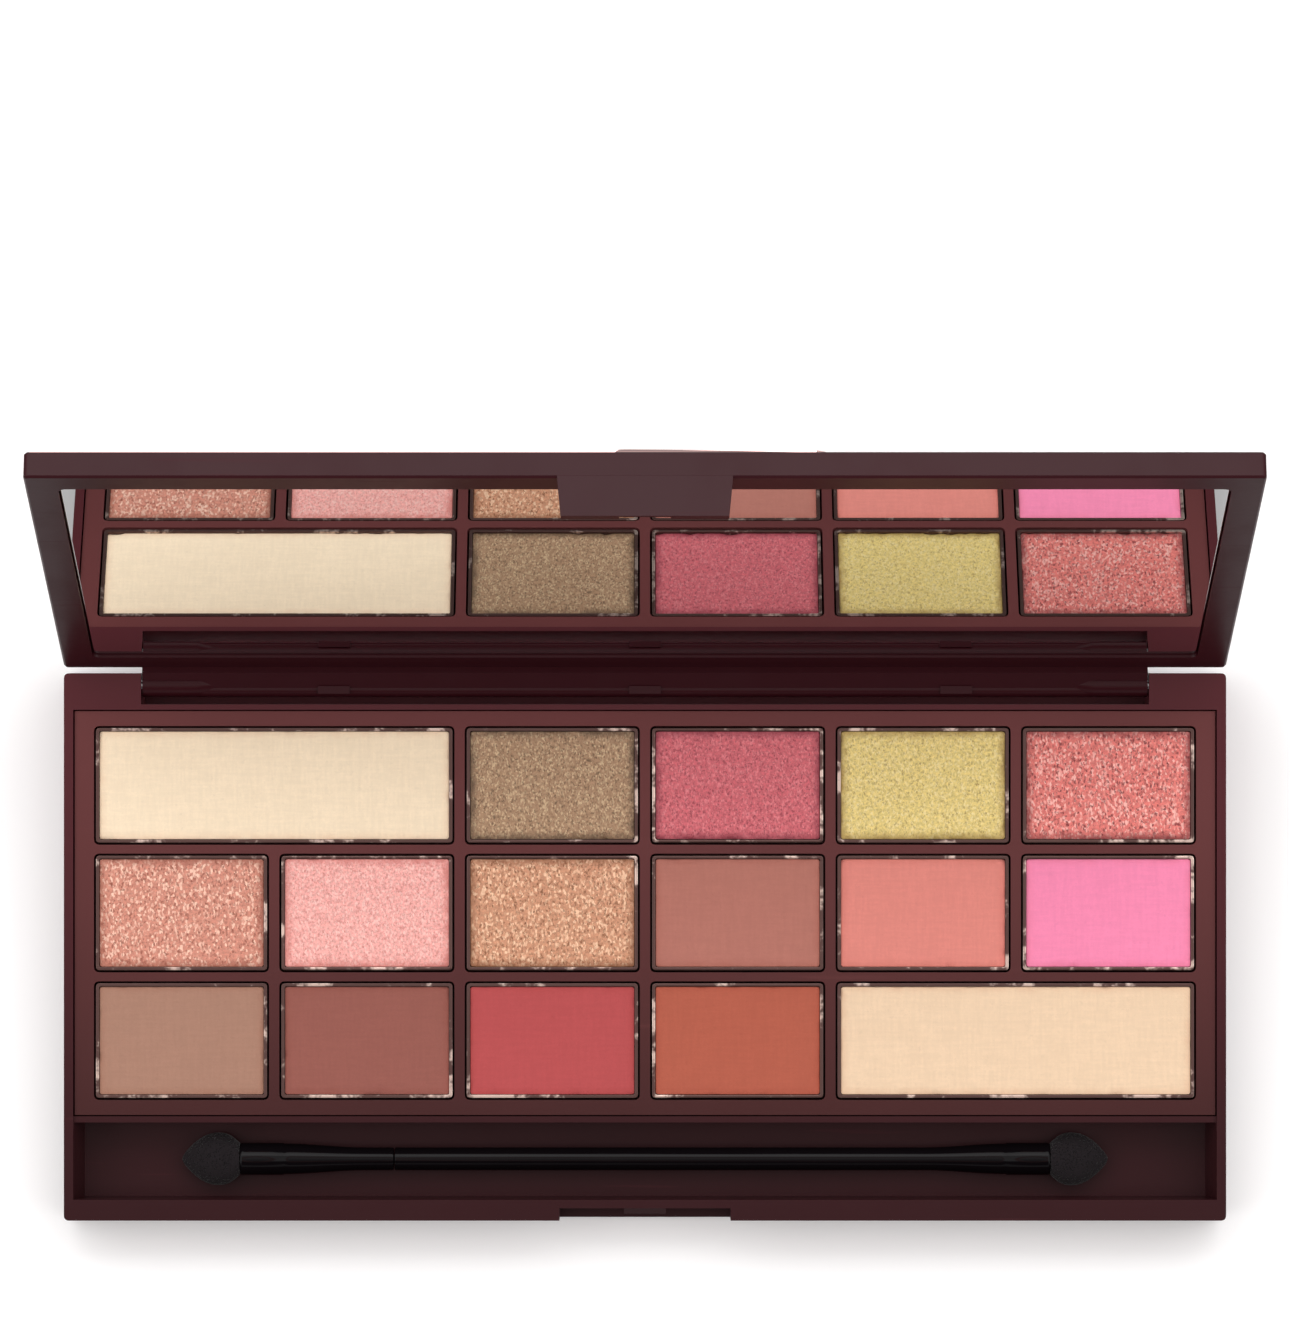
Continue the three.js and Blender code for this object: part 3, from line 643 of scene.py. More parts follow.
@dataclass(frozen=True)
class Silvering(Finish):
    """A silvered glass mirror with a trace of dust."""

    def sockets(self, graph: Graph) -> Sockets:
        """What feeds the Principled shader."""
        dust = graph.noise(2200.0).ramp(0.7, 0.8)
        breath = graph.noise(70.0, 3.0).ramp(0.45, 0.85)
        return {
            "Base Color": self.tones(graph, breath, 1.0, 0.97),
            "Metallic": 1.0,
            "Roughness": breath * 0.012 + dust * 0.05 + 0.004,
        }


@dataclass(frozen=True)
class BackingSheet(Finish):
    """The pale, fibrous double-sided sheet that holds a glued piece."""

    def sockets(self, graph: Graph) -> Sockets:
        """What feeds the Principled shader."""
        fibre = graph.noise(3000.0, 4.0, 0.7)
        return {
            "Base Color": self.tones(graph, fibre, 0.85, 1.0),
            "Roughness": fibre * 0.2 + 0.7,
            "Normal": graph.bump(fibre, 0.02 * MM),
        }


# ---------------------------------------------------------------- mesh tools


@dataclass
class Workshop:
    """Turns meshes into finished pieces that ride on the frame."""

    frame: dict
    made: list[str] = field(default_factory=list)
    merge_gap: float = 0.002 * MM
    flat_degrees: float = 0.5
    sharp_degrees: float = 28.0
    flat_weight: int = 80

    def finish(
        self,
        name: str,
        mesh: bmesh.types.BMesh,
        material: bpy.types.Material,
        body: str,
        slot: str,
        replaces: Sequence[str] = (),
        smooth_degrees: float = 32.0,
    ) -> bpy.types.Object:
        """Makes an object from a bmesh and hangs it on a body.

        Args:
            name: The piece's name.
            mesh: Its shape, in place; it is freed here.
            material: Its finish.
            body: The CAD body that it rides on.
            slot: The record's material slot; not used.
            replaces: The CAD nodes that it stands for.
            smooth_degrees: Edges sharper than this stay sharp.

        Returns:
            The object.
        """
        data = bpy.data.meshes.new(name)
        mesh.to_mesh(data)
        mesh.free()
        data.shade_smooth()
        data.set_sharp_from_angle(angle=math.radians(smooth_degrees))
        data.materials.append(material)
        piece = bpy.data.objects.new(name, data)
        bpy.context.scene.collection.objects.link(piece)
        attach(piece, body)
        if replaces:
            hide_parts(*replaces)
        self.made.append(name)
        LOG.info("%s: %d faces on %s", name, len(data.polygons), body)
        return piece

    def dress(
        self,
        node: str,
        name: str,
        width: float,
        material: bpy.types.Material,
        body: str,
        slot: str,
    ) -> bpy.types.Object:
        """Makes a finished piece from a CAD node, with its sharp edges rounded.

        Args:
            node: The CAD node.
            name: The piece's name.
            width: The rounding, in metres.
            material: Its finish.
            body: The CAD body that it rides on.
            slot: The record's material slot.

        Returns:
            The object.
        """
        return self.finish(name, self.softened(node, width), material, body, slot, [node])

    def softened(self, node: str, width: float) -> bmesh.types.BMesh:
        """A copy of a CAD node's mesh with its sharp edges rounded.

        Args:
            node: The CAD node.
            width: The rounding, in metres.

        Returns:
            The rounded mesh.
        """
        mesh = bmesh.new()
        mesh.from_mesh(self.frame["nodes"][node].data)
        bmesh.ops.remove_doubles(mesh, verts=mesh.verts, dist=self.merge_gap)
        bmesh.ops.dissolve_limit(
            mesh,
            angle_limit=math.radians(self.flat_degrees),
            verts=mesh.verts,
            edges=mesh.edges,
            delimit={"NORMAL"},
        )
        sharp = [
            edge
            for edge in mesh.edges
            if len(edge.link_faces) == 2 and edge.calc_face_angle(0.0) > math.radians(self.sharp_degrees)
        ]
        bmesh.ops.bevel(
            mesh,
            geom=sharp,
            offset=width,
            offset_type="OFFSET",
            segments=2,
            profile=0.5,
            affect="EDGES",
            clamp_overlap=True,
            material=-1,
        )
        return mesh

    def weighted(self, piece: bpy.types.Object) -> None:
        """Keeps a piece's broad faces flat to the light, with the change of shade in its rounded edges.

        Args:
            piece: The piece.
        """
        modifier = piece.modifiers.new("flat_faces", "WEIGHTED_NORMAL")
        modifier.keep_sharp = True
        modifier.weight = self.flat_weight


def rounded_face(mesh: bmesh.types.BMesh, low: Vector, high: Vector, radius: float, z: float) -> None:
    """Adds one flat face with round corners to an empty mesh.

    Args:
        mesh: The mesh.
        low: The lowest corner; its x and y are used.
        high: The highest corner; its x and y are used.
        radius: The corner radius.
        z: The face's height.
    """
    bmesh.ops.create_grid(mesh, x_segments=1, y_segments=1, size=0.5)
    for vert in mesh.verts:
        vert.co.x = low.x if vert.co.x < 0 else high.x
        vert.co.y = low.y if vert.co.y < 0 else high.y
        vert.co.z = z
    bmesh.ops.bevel(
        mesh,
        geom=list(mesh.verts),
        offset=radius,
        offset_type="OFFSET",
        segments=6,
        profile=0.5,
        affect="VERTICES",
        material=-1,
    )


def slice_faces(mesh: bmesh.types.BMesh, faces: Iterable[bmesh.types.BMFace], pitch: float) -> None:
    """Cuts faces into small squares with planes across X and Y.

    Args:
        mesh: The mesh.
        faces: The faces to cut.
        pitch: The distance between cuts.
    """
    part = set(faces)
    for axis in (0, 1):
        normal = Vector((1, 0, 0)) if axis == 0 else Vector((0, 1, 0))
        spots = [vert.co[axis] for face in part for vert in face.verts]
        low, high = min(spots), max(spots)
        count = max(1, round((high - low) / pitch))
        for step in range(1, count):
            at = low + (high - low) * step / count
            geometry: set = set(part)
            for face in part:
                geometry.update(face.edges)
                geometry.update(face.verts)
            cut = bmesh.ops.bisect_plane(
                mesh, geom=list(geometry), dist=1e-8, plane_co=normal * at, plane_no=normal
            )
            part = {item for item in cut["geom"] if isinstance(item, bmesh.types.BMFace)}


def turned_body(profile: Profile, y: float, z: float, steps: int = 48) -> bmesh.types.BMesh:
    """A round body about a line along X.

    Args:
        profile: Points of (x, radius), whose ends lie on the line.
        y: The line's place across.
        z: The line's height.
        steps: Facets round the line.

    Returns:
        The body.
    """
    mesh = bmesh.new()
    verts = [mesh.verts.new((x, y, z + radius)) for x, radius in profile]
    edges = [mesh.edges.new(pair) for pair in zip(verts, verts[1:])]
    bmesh.ops.spin(
        mesh,
        geom=verts + edges,
        cent=(0, y, z),
        axis=(1, 0, 0),
        angle=math.tau,
        steps=steps,
        use_merge=True,
    )
    bmesh.ops.remove_doubles(mesh, verts=mesh.verts, dist=1e-7)
    bmesh.ops.recalc_face_normals(mesh, faces=mesh.faces)
    return mesh


def smooth_line(points: Sequence[tuple[float, float]], per_span: int) -> Profile:
    """An open curve through points.

    Args:
        points: The points.
        per_span: Steps between one point and the next.

    Returns:
        The curve's points.
    """
    curve: Profile = []
    last = len(points) - 1
    for index in range(last):
        before = points[max(index - 1, 0)]
        start, end = points[index], points[index + 1]
        after = points[min(index + 2, last)]
        for step in range(per_span):
            share = step / per_span
            curve.append(
                tuple(
                    0.5
                    * (
                        2 * b
                        + (c - a) * share
                        + (2 * a - 5 * b + 4 * c - d) * share**2
                        + (3 * b - a - 3 * c + d) * share**3
                    )
                    for a, b, c, d in zip(before, start, end, after)
                )
            )
    curve.append(points[last])
    return curve


# ---------------------------------------------------------------- base, tray and pans


@dataclass
class Case:
    """The lower case, its hinge pins and the tray of pans."""

    workshop: Workshop
    tub_edge: float = 0.16 * MM
    tray_edge: float = 0.14 * MM
    pin_edge: float = 0.12 * MM

    def build(self) -> None:
        """Makes every piece of the case."""
        # The case's and tray's colours carry painted light: darker at the front, lighter toward the hinge.
        brown = MouldedPlastic("case_plastic", srgb(56, 22, 26), front_painted_shade=0.72, back_painted_light=2.1).build()
        tray = MouldedPlastic("tray_plastic", srgb(78, 40, 40), 0.4, front_painted_shade=0.56, back_painted_light=1.75).build()
        steel = PressedMetal("hinge_steel", (0.55, 0.56, 0.58, 1.0), 0.25).build()
        shop = self.workshop
        shop.weighted(shop.dress("base_tub", "case_tub", self.tub_edge, brown, "base", "case_plastic"))
        shop.weighted(shop.dress("pan_tray", "tray", self.tray_edge, tray, "base", "tray_plastic"))
        for side in ("left", "right"):
            shop.dress(f"hinge_pin_{side}", f"steel_pin_{side}", self.pin_edge, steel, "base", "hinge_steel")


@dataclass
class Pan:
    """One metal pan and the powder pressed into it.

    Each dip is its waves to the millimetre and its depth; depths and drops are in millimetres.
    """

    workshop: Workshop
    powder: PressedPowder
    metal: bpy.types.Material
    key: str
    seed: float
    edge: float = 0.15 * MM
    corner: float = 0.3 * MM
    pitch: float = 0.55 * MM
    rim_band: float = 1.3 * MM
    rim_drop: float = 0.05
    dips: tuple[tuple[float, float], ...] = ((0.22, 0.035), (0.9, 0.012))
    crumb_band: float = 0.5 * MM
    crumb_depth: float = 0.5

    def build(self) -> None:
        """Makes the pan and its powder."""
        shop = self.workshop
        name = f"metal_pan_{self.key}"
        shop.weighted(shop.dress(f"pan_{self.key}", name, self.edge, self.metal, "base", "pan_metal"))
        shop.finish(f"pressed_powder_{self.key}", self.pressed(), self.powder.build(), "base",
                    f"powder_{self.key}", [f"powder_{self.key}"], smooth_degrees=50.0)

    def pressed(self) -> bmesh.types.BMesh:
        """The powder's block: a top with soft dips, crumbled here and there along its rim."""
        low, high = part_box(f"powder_{self.key}")
        mesh = bmesh.new()
        rounded_face(mesh, low, high, self.corner, high.z)
        top = list(mesh.faces)
        down = bmesh.ops.extrude_face_region(mesh, geom=top, use_keep_orig=True)
        moved = [item for item in down["geom"] if isinstance(item, bmesh.types.BMVert)]
        bmesh.ops.translate(mesh, verts=moved, vec=(0, 0, low.z - high.z))
        bmesh.ops.recalc_face_normals(mesh, faces=mesh.faces)
        slice_faces(mesh, [face for face in mesh.faces if face.normal.z > 0.9], self.pitch)
        # The rim attribute is a mask for painted shade near the pan's rim.
        rim = mesh.verts.layers.float.new("rim")
        for vert in mesh.verts:
            if vert.co.z < high.z - 1e-6:
                vert[rim] = 1.0
                continue
            inside = min(vert.co.x - low.x, high.x - vert.co.x, vert.co.y - low.y, high.y - vert.co.y)
            near = max(0.0, 1.0 - inside / self.rim_band)
            spot = Vector((vert.co.x / MM, vert.co.y / MM, self.seed))
            vert[rim] = near * (0.75 + 0.5 * noise.noise(spot * 0.9))
            dip = sum(depth * noise.noise(spot * waves) for waves, depth in self.dips)
            loose = max(0.0, noise.noise(spot * 0.75) - 0.18)
            crumble = loose * self.crumb_depth * max(0.0, 1.0 - inside / self.crumb_band)
            vert.co.z += (dip - crumble - self.rim_drop * near**3) * MM
        return mesh


# The back row's colours, the first five, are set lighter than the powders themselves: painted light that
# makes up for the shade the open lid casts on that row.
POWDERS: dict[str, PressedPowder] = {
    "cream": PressedPowder("powder_cream", srgb(253, 232, 201)),
    "olive_bronze": PressedPowder(
        "powder_olive_bronze", srgb(170, 135, 104), Shimmer.METALLIC, srgb(222, 196, 158), srgb(84, 62, 44)
    ),
    "cranberry": PressedPowder(
        "powder_cranberry", srgb(209, 102, 111), Shimmer.METALLIC, srgb(232, 142, 148), srgb(130, 44, 60)
    ),
    "lime_gold": PressedPowder(
        "powder_lime_gold", srgb(231, 208, 130), Shimmer.METALLIC, srgb(244, 228, 172), srgb(160, 128, 66)
    ),
    "coral_glitter": PressedPowder(
        "powder_coral_glitter", srgb(228, 124, 116), Shimmer.GLITTER, srgb(250, 190, 180), srgb(120, 44, 48)
    ),
    "copper_rose": PressedPowder(
        "powder_copper_rose", srgb(212, 142, 122), Shimmer.GLITTER, srgb(250, 208, 186), srgb(150, 84, 66)
    ),
    "shell_pink": PressedPowder(
        "powder_shell_pink", srgb(244, 174, 166), Shimmer.METALLIC, srgb(255, 214, 206), srgb(206, 120, 112)
    ),
    "gold_copper": PressedPowder(
        "powder_gold_copper", srgb(207, 149, 116), Shimmer.GLITTER, srgb(246, 206, 172), srgb(134, 84, 54)
    ),
    "mauve_brown": PressedPowder("powder_mauve_brown", srgb(179, 115, 102)),
    "soft_coral": PressedPowder("powder_soft_coral", srgb(223, 136, 125)),
    "hot_pink": PressedPowder("powder_hot_pink", srgb(246, 139, 177)),
    "taupe": PressedPowder("powder_taupe", srgb(167, 126, 107)),
    "russet": PressedPowder("powder_russet", srgb(148, 89, 79)),
    "berry": PressedPowder("powder_berry", srgb(181, 78, 79)),
    "rust": PressedPowder("powder_rust", srgb(177, 92, 72)),
    "peach_cream": PressedPowder("powder_peach_cream", srgb(234, 205, 173)),
}


# ---------------------------------------------------------------- applicator


@dataclass
class Applicator:
    """The double-ended sponge applicator.

    A profile's pairs go inwards from an end or a seam. The socket's and the stem's are in millimetres.
    The collar's and the seam's are a distance in millimetres and a share of the radius there, and the
    leaf's are shares of the tip's length and half width.
    """

    workshop: Workshop
    seam: float = -32.5 * MM
    seam_gap: float = 0.06 * MM
    seam_round: tuple[tuple[float, float], ...] = ((0.25, 1.0), (0.05, 0.97), (0.0, 0.88), (0.0, 0.0))
    slim_share: float = 1.5 / 2.1
    socket: tuple[tuple[float, float], ...] = ((1.2, 0.0), (1.2, 1.05), (0.0, 1.25))
    collar_round: tuple[tuple[float, float], ...] = ((0.0, 0.9), (0.12, 0.975), (0.35, 1.0), (5.6, 1.0))
    flare_start: float = 5.75 * MM
    flare_length: float = 10.5 * MM
    flare_share: float = 0.955
    flare_steps: int = 12
    stem_reach: float = 3.0 * MM
    stem: tuple[tuple[float, float], ...] = ((2.6, 0.0), (2.6, 0.9), (0.0, 0.95))
    shoulder: float = 0.02 * MM
    flattened_by: float = 0.18
    foam_swell: float = 0.05
    foam_trim: float = 0.03 * MM
    tip_facets: int = 40
    leaf: tuple[tuple[float, float], ...] = (
        (0.0, 0.60), (0.07, 0.74), (0.16, 0.89), (0.27, 0.98), (0.37, 1.0), (0.49, 0.965), (0.61, 0.875),
        (0.71, 0.75), (0.8, 0.59), (0.88, 0.42), (0.94, 0.27), (0.98, 0.14), (1.0, 0.03),
    )

    def build(self) -> None:
        """Makes both halves of the handle and both tips."""
        shop = self.workshop
        gloss = GlossPlastic("handle_gloss", srgb(11, 8, 10)).build()
        foam = Sponge("sponge_foam", srgb(26, 22, 24)).build()
        for node, side in (("applicator_handle_long", 1), ("applicator_handle_short", -1)):
            shop.finish(node.replace("applicator_", "gloss_"), self.handle(node, side), gloss, "applicator",
                        "handle_black", [node], smooth_degrees=40.0)
        for node, side in (("sponge_tip_left", -1), ("sponge_tip_right", 1)):
            tip = shop.finish(node.replace("sponge_", "foam_"), self.tip(node, side), foam, "applicator",
                              "sponge_foam", [node], smooth_degrees=60.0)

    def handle(self, node: str, side: int) -> bmesh.types.BMesh:
        """One half of the handle, from its seam to its collar.

        Args:
            node: The CAD node that gives its place.
            side: 1 for the right half and -1 for the left.

        Returns:
            The half.
        """
        low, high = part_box(node)
        y, z = (low.y + high.y) / 2, (low.z + high.z) / 2
        collar = (high.z - low.z) / 2
        slim = collar * self.slim_share
        end = high.x if side > 0 else low.x
        profile = [(end - side * depth * MM, radius * MM) for depth, radius in self.socket]
        profile += [(end - side * depth * MM, collar * share) for depth, share in self.collar_round]
        widest = collar * self.flare_share
        for step in range(self.flare_steps + 1):
            share = step / self.flare_steps
            ease = share * share * (3 - 2 * share)
            depth = self.flare_start + self.flare_length * share
            profile.append((end - side * depth, widest + (slim - widest) * ease))
        seam = self.seam + side * self.seam_gap
        profile += [(seam + side * depth * MM, slim * share) for depth, share in self.seam_round]
        return turned_body(profile, y, z)

    def tip(self, node: str, side: int) -> bmesh.types.BMesh:
        """A flat, leaf-shaped foam tip with a stem in its collar.

        Args:
            node: The CAD node that gives its place and size.
            side: 1 for the right tip and -1 for the left.

        Returns:
            The tip.
        """
        low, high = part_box(node)
        y, z = (low.y + high.y) / 2, (low.z + high.z) / 2
        half_width, half_height = (high.y - low.y) / 2, (high.z - low.z) / 2
        point = high.x if side > 0 else low.x
        length = (high.x - low.x) - self.stem_reach
        root = point - side * length
        profile = [(root - side * depth * MM, radius * MM) for depth, radius in self.stem]
        profile.append((root + side * self.shoulder, half_width * self.leaf[0][1]))
        for along, across in smooth_line(self.leaf, 3)[1:-1]:
            profile.append((root + side * length * along, half_width * across))
        profile.append((point, 0.0))
        mesh = turned_body(profile, y, z, self.tip_facets)
        flat = half_height / half_width
        for vert in mesh.verts:
            beyond = (vert.co.x - root) * side / length
            if beyond <= 0.0:
                continue
            blend = min(1.0, beyond / self.flattened_by)
            vert.co.z = z + (vert.co.z - z) * (1 + (flat - 1) * blend)
            fade = min(1.0, beyond * 3) * min(1.0, (1 - beyond) * 3)
            swell = self.foam_swell * noise.noise(vert.co / MM * 0.7) * MM * fade
            outward = Vector((0, vert.co.y - y, vert.co.z - z)).normalized()
            vert.co += outward * (swell - self.foam_trim)
        return mesh


# ---------------------------------------------------------------- lid


@dataclass
class LidFrame:
    """The lid's own frame: closed, with its origin on the hinge and y pointing back."""

    workshop: Workshop
    turn: Matrix = field(init=False)
    back_turn: Matrix = field(init=False)

    def __post_init__(self) -> None:
        """Reads the hinge from the frame."""
        hinge = next(joint for joint in self.workshop.frame["joints"] if joint["name"] == "lid_hinge")
        opened = math.radians(-hinge["range_deg"][0])
        swing = Matrix.Rotation(opened, 4, Vector(hinge["axis"]))
        self.turn = Matrix.Translation(Vector(hinge["pos_m"])) @ swing
        self.back_turn = self.turn.inverted()

    def box(self, node: str) -> tuple[Vector, Vector]:
        """A lid node's extent in the lid's own frame.

        Args:
            node: The CAD node.

        Returns:
            Its lowest and highest corners.
        """
        spots = [self.back_turn @ vert.co for vert in self.workshop.frame["nodes"][node].data.vertices]
        low = Vector(min(spot[axis] for spot in spots) for axis in range(3))
        high = Vector(max(spot[axis] for spot in spots) for axis in range(3))
        return low, high


@dataclass
class Lid:
    """The lid shell, its mirror and the sheets that hold what is glued to it."""

    workshop: Workshop
    shell_edge: float = 0.16 * MM
    glass_edge: float = 0.25 * MM
    sheet_edge: float = 0.02 * MM

    def build(self) -> None:
        """Makes the lid's plain pieces."""
        shop = self.workshop
        brown = MouldedPlastic("lid_plastic", srgb(51, 15, 21), roughness=0.33).build()
        silver = Silvering("mirror_silver", (0.9, 0.92, 0.925, 1.0)).build()
        sheet = BackingSheet("adhesive_sheet", srgb(226, 220, 206)).build()
        shop.weighted(shop.dress("lid_shell", "lid", self.shell_edge, brown, "lid", "case_plastic"))
        shop.weighted(shop.dress("mirror", "mirror_glass", self.glass_edge, silver, "lid", "mirror_glass"))
        for node in ("mirror_adhesive", "relief_adhesive"):
            shop.dress(node, f"{node}_sheet", self.sheet_edge, sheet, "lid", "adhesive_sheet")


@dataclass
class Relief:
    """The metallised plate on the lid: blocks on a grid that melt into a dripping pool.

    Grid places are in columns from the left and rows from the hinge side.
    """

    workshop: Workshop
    place: LidFrame
    columns: int = 6
    rows: int = 4
    full_columns: int = 3
    groove: float = 0.8 * MM
    slab: float = 0.45 * MM
    ledge: float = 0.9 * MM
    plateau: float = 1.38 * MM
    pool: float = 0.92 * MM
    pool_round: float = 1.45 * MM
    pool_swell: float = 0.36 * MM
    line_gap: float = 0.3 * MM
    easing_rounds: int = 22
    flat_ring: float = 0.2 * MM
    pool_steps: int = 7
    pool_pitch: float = 0.9 * MM
    crowded: float = 0.05 * MM
    lap: float = 0.02 * MM
    mound_right: float = 16.6 * MM
    mound_slope: float = 2.5 * MM
    outer: tuple[float, float, float] = (1.75 * MM, 1.25 * MM, 1.85 * MM)
    shelf: tuple[float, float, float] = (1.0 * MM, 1.0 * MM, 1.55 * MM)
    inner: tuple[float, float, float] = (1.9 * MM, 1.0 * MM, 2.1 * MM)
    edge: float = 0.3 * MM
    drip_edge: tuple[tuple[float, float], ...] = (
        (4.64, 0.02), (4.73, 0.11), (4.60, 0.31), (4.58, 0.58), (4.41, 0.71), (4.28, 0.92),
        (4.40, 1.22), (4.54, 1.47), (4.46, 1.72), (4.24, 1.82), (4.18, 1.95), (4.27, 2.09),
        (4.60, 2.11), (4.92, 2.13), (5.00, 2.29), (4.90, 2.44), (4.42, 2.37), (4.08, 2.32),
        (3.74, 2.38), (3.54, 2.59), (3.48, 2.88), (3.56, 3.12), (3.67, 3.36), (3.74, 3.60),
        (3.86, 3.77), (3.86, 3.92), (3.79, 3.99),
    )
    bitten_edge: tuple[tuple[float, float], ...] = (
        (3.46, -0.02), (3.33, 0.25), (3.35, 0.55), (3.50, 0.92), (3.49, 1.10), (3.35, 1.40), (3.30, 1.85),
        (3.24, 1.93), (2.98, 1.97), (2.98, 2.38), (2.88, 2.56), (2.78, 2.72), (2.90, 3.08),
        (2.76, 3.32), (2.74, 3.62), (2.80, 4.02),
    )

    def __post_init__(self) -> None:
        """Reads the plate's place from its CAD node."""
        low, high = self.place.box("relief_plate")
        shell_low, shell_high = self.place.box("lid_shell")
        self.left, self.back, self.front = low.x, high.y, low.y
        self.base = low.z
        self.pitch_x = (shell_high.x - shell_low.x) / self.columns
        self.pitch_y = (self.back - self.front) / self.rows
        self.grid_left = self.left + self.groove / 2

    def build(self) -> None:
        """Makes the plate as one piece."""
        gold = Metallised("rose_gold", (0.89, 0.60, 0.575, 1.0)).build()
        mesh = bmesh.new()
        for part in (self.make_slab(), self.make_blocks(), self.make_pool(), self.make_mound()):
            part.transform(self.place.turn)
            data = bpy.data.meshes.new("part")
            part.to_mesh(data)
            part.free()
            mesh.from_mesh(data)
            bpy.data.meshes.remove(data)
        plate = self.workshop.finish("melting_relief", mesh, gold, "lid", "rose_gold", ["relief_plate"],
                                     smooth_degrees=24.0)
        self.workshop.weighted(plate)

    def spot(self, column: float, row: float) -> Vector:
        """A grid place in the lid's frame, at height 0."""
        return Vector((self.grid_left + column * self.pitch_x, self.back - row * self.pitch_y, 0.0))

    def outline(self, points: Sequence[Vector], z: float) -> bmesh.types.BMesh:
        """A mesh of one flat face, facing up.

        Args:
            points: The outline, in order.
            z: The face's height.

        Returns:
            The mesh.
        """
        mesh = bmesh.new()
        verts = [mesh.verts.new((point.x, point.y, z)) for point in points]
        face = mesh.faces.new(verts)
        face.normal_update()
        if face.normal.z < 0:
            face.normal_flip()
        return mesh

    def spaced(self, points: Sequence[Vector]) -> list[Vector]:
        """Drops points that crowd the one before them.

        Args:
            points: A closed line's points.

        Returns:
            The points that are left.
        """
        kept = [points[0]]
        for point in points[1:]:
            if (point - kept[-1]).length > self.crowded:
                kept.append(point)
        if (kept[-1] - kept[0]).length <= self.crowded:
            kept.pop()
        return kept

    def eased(self, points: Sequence[Vector]) -> list[Vector]:
        """A closed line with even spacing and no corner too sharp for the pool's rounded edge.

        Args:
            points: The line's points.

        Returns:
            The eased line.
        """
        even = [points[0]]
        for end in [*points[1:], points[0]]:
            while (end - even[-1]).length > self.line_gap:
                even.append(even[-1] + (end - even[-1]).normalized() * self.line_gap)
        for _ in range(self.easing_rounds):
            after = [*even[1:], even[0]]
            before = [even[-1], *even[:-1]]
            even = [
                spot * 0.5 + (last + following) * 0.25 for spot, last, following in zip(even, before, after)
            ]
        return even

    def drip_line(self) -> list[Vector]:
        """The pool's free edge as a smooth line."""
        return [self.spot(*point) for point in smooth_line(self.drip_edge, 9)]

    def bitten_line(self) -> list[Vector]:
        """The line where blocks give way to pool."""
        return [self.spot(*point) for point in smooth_line(self.bitten_edge, 8)]

    def make_slab(self) -> bmesh.types.BMesh:
        """The thin sheet under everything."""
        corners = [Vector((self.left, self.back, 0)), *self.drip_line(), Vector((self.left, self.front, 0))]
        mesh = self.outline(self.spaced(corners), self.base)
        self.raise_faces(mesh, self.slab)
        return mesh

    @staticmethod
    def raise_faces(mesh: bmesh.types.BMesh, rise: float) -> None:
        """Turns a flat mesh into a closed body.

        Args:
            mesh: The mesh.
            rise: The body's height.
        """
        grown = bmesh.ops.extrude_face_region(mesh, geom=list(mesh.faces), use_keep_orig=True)
        verts = [item for item in grown["geom"] if isinstance(item, bmesh.types.BMVert)]
        bmesh.ops.translate(mesh, verts=verts, vec=(0, 0, rise))
        bmesh.ops.recalc_face_normals(mesh, faces=mesh.faces)

    def tier(
        self,
        mesh: bmesh.types.BMesh,
        box: tuple[float, float, float, float],
        chamfer: tuple[float, float, float, float],
        heights: tuple[float, float],
    ) -> tuple[float, float, float, float]:
        """Adds one chamfered step.

        Args:
            mesh: The mesh that it is added to.
            box: The foot's left, right, front and back.
            chamfer: The chamfer's reach at the left, right, front and back.
            heights: The foot's and the top's height over the plate's underside.

        Returns:
            The top's left, right, front and back.
        """
        left, right, front, back = box
        grid = bmesh.ops.create_grid(mesh, x_segments=1, y_segments=1, size=0.5)
        foot = grid["verts"]
        for vert in foot:
            vert.co.x = left if vert.co.x < 0 else right
            vert.co.y = front if vert.co.y < 0 else back
            vert.co.z = self.base + heights[0]
        face = foot[0].link_faces[0]
        grown = bmesh.ops.extrude_face_region(mesh, geom=[face], use_keep_orig=True)
        top = [item for item in grown["geom"] if isinstance(item, bmesh.types.BMVert)]
        middle_x, middle_y = (left + right) / 2, (front + back) / 2
        for vert in top:
            vert.co.x += chamfer[0] if vert.co.x < middle_x else -chamfer[1]
            vert.co.y += chamfer[2] if vert.co.y < middle_y else -chamfer[3]
            vert.co.z = self.base + heights[1]
        edges = {edge for vert in top for edge in vert.link_edges}
        bmesh.ops.bevel(
            mesh,
            geom=list(edges),
            offset=self.edge,
            offset_type="OFFSET",
            segments=4,
            profile=0.5,
            affect="EDGES",
            clamp_overlap=True,
            material=-1,
        )
        return (left + chamfer[0], right - chamfer[1], front + chamfer[2], back - chamfer[3])

    def make_blocks(self) -> bmesh.types.BMesh:
        """Every block of the grid, cut off along the bitten line."""
        mesh = bmesh.new()
        for column in range(self.full_columns + 1):
            for row in range(self.rows):
                corner = self.spot(column, row)
                box = (
                    corner.x + self.groove / 2,
                    corner.x + self.pitch_x - self.groove / 2,
                    corner.y - self.pitch_y + self.groove / 2,
                    corner.y - self.groove / 2,
                )
                side, back, front = self.outer
                ledge = self.tier(mesh, box, (side, side, front, back), (self.slab - self.lap, self.ledge))
                if (column, row) == (self.full_columns, 0):
                    continue
                upper = self.inset_box(ledge)
                side, back, front = self.inner
                self.tier(mesh, upper, (side, side, front, back), (self.ledge - self.lap, self.plateau))
        bmesh.ops.recalc_face_normals(mesh, faces=mesh.faces)
        return self.cut_at_bite(mesh)

